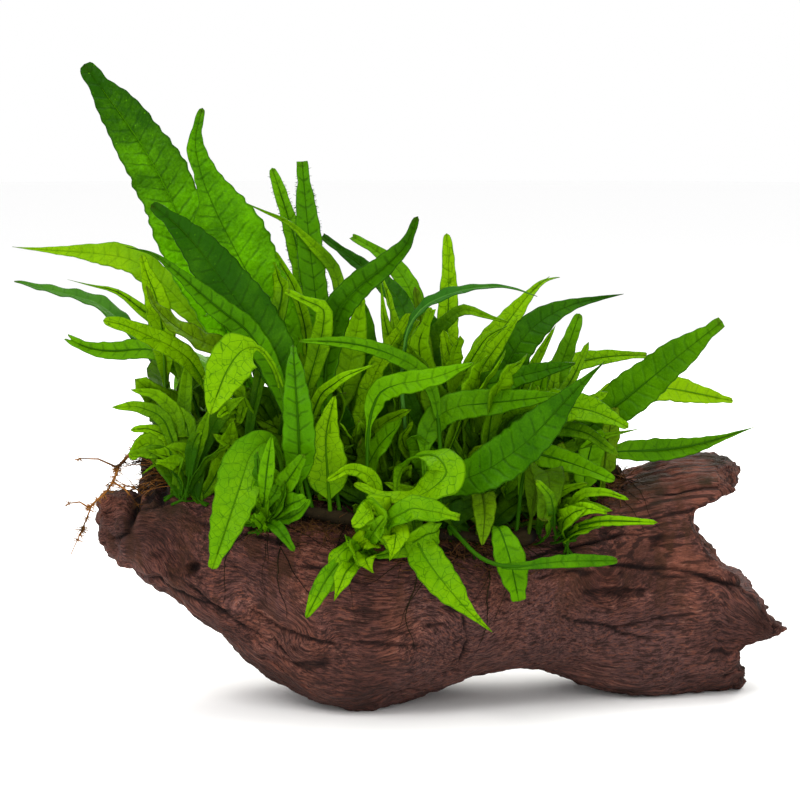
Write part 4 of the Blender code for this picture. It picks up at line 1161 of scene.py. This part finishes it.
def makeRhizome(nodeName):
    chance = random.Random(nodeName)
    bm = solidOf(nodeName)
    bmesh.ops.subdivide_edges(bm, edges=bm.edges, cuts=3, use_grid_fill=True, smooth=0.6)
    bmesh.ops.recalc_face_normals(bm, faces=bm.faces)
    bm.normal_update()
    small, large = rhizomeSizes["bumps"]
    for vert in bm.verts:
        bump = abs(noise.noise(vert.co / small)) + 0.5 * noise.noise(vert.co / large)
        vert.co += vert.normal * rhizomeSizes["scales"] * bump
    skin = [(vert.co.copy(), vert.normal.copy()) for vert in bm.verts]
    lines = [hairLine(*chance.choice(skin), chance) for _ in range(rhizomeSizes["hairs"])]
    lines += [creepingRoot(chance.choice(skin)[0], chance) for _ in range(rootSizes["perRhizome"])]
    bm.from_mesh(tubeMesh(lines, 0, 1))
    mesh = meshFrom(bm, nodeName)
    addPiece(nodeName + "_rooted", mesh, [rhizomeFinish, rootFinish], [nodeName])


rhizomes = sorted(name for name in nodes if name.startswith("rhizome_"))
for rhizomeName in rhizomes:
    makeRhizome(rhizomeName)
print(len(rhizomes), "rhizomes made")


# short leaves and threads that close the foot of the clump over the wood
undergrowth = {
    "low": {"leaves": 34, "shortest": 10 * mm, "longest": 26 * mm, "half": 3.4 * mm, "spread": 12 * mm,
            "out": 0.85, "front": -38 * mm, "finish": "inner_leaf"},
    "inner": {"leaves": 80, "shortest": 26 * mm, "longest": 60 * mm, "half": 5.6 * mm, "spread": 12 * mm,
              "out": 0.75, "front": -37 * mm, "finish": "inner_leaf"},
}
sparser = {"rhizome_left": 2}          # one leaf is made there for so many elsewhere
clump = {"left": -97 * mm, "right": 80 * mm, "back": 62 * mm, "top": 152 * mm}   # the room that they stay in
lowStalk = 0.4 * mm
lowLook = {**smallLook, "columns": 4, "rows": 14, "wave": 0.30}
thatch = {"threads": 1000, "length": 12 * mm, "radius": 0.20 * mm, "spread": 15 * mm}
thatchFinish = barkFinish("thatchSkin", (0.010, 0.006, 0.003), (0.110, 0.048, 0.014), 0.85, 300.0)


def shortLeaf(foot, size, chance):
    long = chance.uniform(size["shortest"], size["longest"])
    out = size["out"]
    lean = Vector((chance.gauss(0, out), chance.gauss(-0.1, out), chance.uniform(0.5, 1.3))).normalized()
    droop = chance.uniform(0.0, 0.7)
    wide = size["half"] * chance.uniform(0.5, 1.3)
    across = lean.cross(drawn(chance, (-0.8, 0.8), -1, (-0.2, 0.9))).normalized()
    sway = drawn(chance, (-1, 1), (-1, 1), 0) * long * 0.12
    spin = chance.uniform(-1.0, 1.0)
    leaf = {"points": [], "sides": [], "halves": [], "length": long}
    for k in range(stations):
        t = k / (stations - 1)
        down = Vector((lean.x, lean.y, -1)) * long * droop * t * t * 0.5
        leaf["points"].append(foot + lean * long * t + down + sway * math.sin(math.pi * t))
        leaf["sides"].append((across + lean.cross(across) * spin * t).normalized())
        swell = math.sin(math.pi * clamp((t - 0.15) / 0.85)) ** 0.7
        leaf["halves"].append(max(0.5 * mm, wide * swell))
    return leaf


def hasRoom(leaf, front):
    return all(clump["left"] < p.x < clump["right"] and front < p.y < clump["back"] and p.z < clump["top"]
               for p in leaf["points"])


def makeUndergrowth(nodeName, kind, size):
    chance = random.Random(nodeName + kind)
    places = cornersOf(nodeName)
    bm = newLeafMesh()
    lines = []
    for _ in range(size["leaves"] // sparser.get(nodeName, 1)):
        stray = drawn(chance, (-0.6, 0.6), (-1, 1), 0) * size["spread"]
        leaf = shortLeaf(ontoWood(chance.choice(places) + stray), size, chance)
        if not hasRoom(leaf, size["front"]):
            continue
        shape = {**lowLook, "tip": chance.choice(smallTips), "curl": chance.uniform(-0.6, 0.8)}
        foot = addBlade(bm, leaf, shape, chance)
        lines.append(stalkLine(leaf, foot, lowStalk))
    mesh = finishLeafMesh(bm, lines, nodeName)
    addPiece(nodeName.replace("rhizome", kind), mesh, [finishes[size["finish"]], stalkFinish])


def makeThatch(nodeName):
    chance = random.Random(nodeName + "thatch")
    places = cornersOf(nodeName)
    threads = []
    for _ in range(thatch["threads"]):
        stray = Vector((chance.uniform(-0.5, 0.5), chance.gauss(0, 0.6), 0)) * thatch["spread"]
        at = ontoWood(chance.choice(places) + stray)
        way = Vector((chance.gauss(0, 1), chance.gauss(0, 1), chance.uniform(0.1, 1.2))).normalized()
        line = []
        for k in range(4):
            line.append((at.copy(), thatch["radius"] * (1 - k * 0.22)))
            way = (way + Vector((chance.gauss(0, 0.5), chance.gauss(0, 0.5), -0.35))).normalized()
            at = at + way * thatch["length"] / 3 * chance.uniform(0.5, 1.0)
        threads.append(line)
    addPiece(nodeName.replace("rhizome", "thatch"), tubeMesh(threads, 0), [thatchFinish])


for rhizomeName in rhizomes:
    for kindName, kindSize in undergrowth.items():
        makeUndergrowth(rhizomeName, kindName, kindSize)
    makeThatch(rhizomeName)
print("undergrowth made")


# leaves that stand between the fronds: root x and y, tip x, y and z, bow across and up, half width in
# mm, and the shape of the tip
betweenLeaves = {
    "dark_leaf": (
        (-14, 8, -11, 12, 149, 3, 0, 7.0, "point"), (8, 8, 15, 12, 143, -3, 0, 6.5, "blunt"),
        (-34, 10, -40, 14, 150, -3, 0, 6.5, "point"), (-2, 10, 2, 14, 136, 2, 0, 6.5, "round"),
        (28, 6, 40, 10, 131, 2, 2, 5.5, "point"), (-26, -6, -20, -14, 112, 4, 0, 5.5, "round"),
        (56, 4, 64, 2, 118, 2, 2, 5.0, "point"), (-50, 8, -60, 12, 128, 0, 3, 5.5, "point"),
    ),
    "green_leaf": (
        (-8, 4, -16, 4, 138, -4, 0, 6.5, "round"), (2, 2, -3, -2, 131, -3, 0, 6.0, "point"),
        (-22, 2, -27, 2, 141, 3, 0, 6.0, "blunt"), (14, -2, 6, -8, 126, -3, 2, 5.5, "point"),
        (-12, -24, 4, -30, 108, -2, 4, 5.0, "point"), (22, -18, 6, -26, 103, 0, 4, 5.5, "round"),
        (38, -10, 52, -24, 106, 0, 5, 5.5, "round"), (34, -4, 20, -20, 117, 0, 4, 5.5, "point"),
        (60, -10, 76, -20, 104, 0, 6, 5.0, "point"), (46, 2, 56, -4, 124, 2, 2, 5.0, "torn"),
    ),
    "olive_leaf": (
        (14, 0, 8.5, -4, 155, 3, 0, 3.2, "blunt"), (52, -8, 60, -22, 98, 0, 6, 5.0, "torn"),
        (-2, -20, -14, -32, 101, 0, 5, 4.6, "round"), (30, -16, 36, -30, 98, 0, 5, 4.6, "point"),
        (-40, -10, -50, -26, 104, 0, 5, 4.6, "point"), (70, -4, 82, -10, 110, 0, 4, 4.2, "torn"),
    ),
    "bright_leaf": (
        (3, -4, -4, -9, 161, 5, 0, 3.4, "point"), (-10, -12, 7, -15, 146, -6, 5, 4.2, "round"),
        (16, -6, 46, -14, 144, -2, 6, 4.0, "point"),
        (44, -14, 60, -28, 112, -2, 4, 4.6, "round"), (26, -2, 18, -8, 139, 4, 0, 4.0, "blunt"),
    ),
}
betweenLook = {**usualLook, "columns": 8, "rows": 36, "pucker": 0.05, "wave": 0.18, "cup": 0.22}
betweenSizes = {"rootSoughtAt": 95, "bladeFrom": 0.25, "stalk": 0.55 * mm}


def leafToPlace(row, chance):
    rootX, rootY, tipX, tipY, tipZ, bowX, bowZ, half = row
    root = ontoWood(Vector((rootX, rootY, betweenSizes["rootSoughtAt"])) * mm)
    end = Vector((tipX, tipY, tipZ)) * mm
    way = end - root
    across = way.cross(drawn(chance, (-0.5, 0.5), -1, (0.0, 0.8))).normalized()
    spin = chance.uniform(-0.8, 0.8)
    bow = Vector((bowX, 0, bowZ)) * mm
    leaf = {"points": [], "sides": [], "halves": [], "length": way.length,
            "bladeFrom": betweenSizes["bladeFrom"]}
    for k in range(stations):
        t = k / (stations - 1)
        leaf["points"].append(root.lerp(end, t) + bow * math.sin(math.pi * t))
        leaf["sides"].append((across + way.normalized().cross(across) * spin * t).normalized())
        leaf["halves"].append(half * mm * math.sin(math.pi * (0.12 + 0.80 * t)) ** 0.8)
    return leaf


def makeBetween(finishName, rows):
    chance = random.Random(finishName)
    bm = newLeafMesh()
    lines = []
    for *row, tip in rows:
        leaf = leafToPlace(row, chance)
        foot = addBlade(bm, leaf, {**betweenLook, "tip": tip, "curl": chance.uniform(-0.4, 0.6)}, chance)
        lines.append(stalkLine(leaf, foot, betweenSizes["stalk"]))
    mesh = finishLeafMesh(bm, lines, finishName)
    addPiece("between_" + finishName, mesh, [finishes[finishName], stalkFinish])


for betweenFinish, betweenPlaces in betweenLeaves.items():
    makeBetween(betweenFinish, betweenPlaces)
print("leaves between the fronds made")


# hanging root
hangingRoot = {
    "radius": 0.70 * mm, "knots": 12, "tips": 3, "tufts": 26, "spikes": 11,
    "spikeLength": 3.6 * mm, "spikeRadius": 0.17 * mm,
    # the stray roots at the left: how many, their steps, and where they start in mm
    "wisps": 34, "wispSteps": 7, "wispStep": 4.2 * mm, "wispFrom": ((-96, -80), (-30, -6), 92),
}


# the middle of the frame's root from its top to its bottom
def rootMiddle(places):
    top = max(places, key=lambda p: p.z)
    bottom = min(places, key=lambda p: p.z)
    line = []
    for k in range(hangingRoot["knots"] + 1):
        middle = top.lerp(bottom, k / hangingRoot["knots"])
        near = [p for p in places if abs(p.z - middle.z) < 5 * mm and (p - middle).length < 7 * mm]
        if near:
            middle = sum(near, Vector()) / len(near)
        line.append(middle)
    return line


# the frame's own tips: the corners furthest from the middle line, and well apart
def rootTips(places, line):
    tips = []
    for place in sorted(places, key=lambda p: -min((p - q).length for q in line)):
        if all((place - other).length > 6 * mm for other in tips) and len(tips) < hangingRoot["tips"]:
            tips.append(place)
    return tips


def spikeLine(seat, size, chance):
    aim = drawn(chance, (-1, 1), (-1, 1), (-0.8, 0.5)).normalized()
    long = hangingRoot["spikeLength"] * size * chance.uniform(0.4, 1.0)
    bend = drawn(chance, (-1, 1), (-1, 1), (-1, 1)) * 0.3 * long
    thick = hangingRoot["spikeRadius"]
    return [(seat, thick), (seat + aim * long * 0.5, thick * 0.8), (seat + aim * long + bend, thick * 0.25)]


# a stray root that sticks out of the moss at the left
def wispLine(chance):
    at = ontoWood(drawn(chance, *hangingRoot["wispFrom"]) * mm)
    way = drawn(chance, (-1.2, -0.2), (-0.9, 0.1), (-0.1, 0.9)).normalized()
    thick = chance.uniform(0.16, 0.30) * mm
    line = []
    for k in range(hangingRoot["wispSteps"]):
        line.append((at.copy(), thick * (1 - k * 0.12)))
        way = (way + Vector((chance.gauss(0, 0.3), chance.gauss(0, 0.3), -0.12))).normalized()
        at = at + way * hangingRoot["wispStep"] * chance.uniform(0.5, 1.0)
    return line


def makeHangingRoot():
    chance = random.Random(5)
    places = cornersOf("hanging_root")
    line = rootMiddle(places)
    radius = hangingRoot["radius"]
    lines = [[(smoothAt(line, k / 40), radius * (1 - 0.75 * k / 40)) for k in range(41)]]
    tips = rootTips(places, line)
    for tip in tips:
        start = min(line, key=lambda q: (q - tip).length)
        bow = (start + tip) / 2 + Vector((0, 0, 1.5 * mm))
        lines.append([(start, radius * 0.6), (bow, radius * 0.5), (tip, radius * 0.35)])
    tufts = hangingRoot["tufts"]
    seats = [(smoothAt(line, 0.08 + 0.86 * k / tufts), 1.0) for k in range(tufts)]
    seats += [(tip, 0.9) for tip in tips]
    for seat, size in seats:
        lines += [spikeLine(seat, size, chance) for _ in range(hangingRoot["spikes"])]
    lines += [wispLine(chance) for _ in range(hangingRoot["wisps"])]
    finish = barkFinish("hangingRootSkin", (0.030, 0.012, 0.003), (0.240, 0.095, 0.018), 0.65, 500.0)
    addPiece("hangingRootTuft", tubeMesh(lines), [finish], ["hanging_root"])


makeHangingRoot()
print("hanging root made")
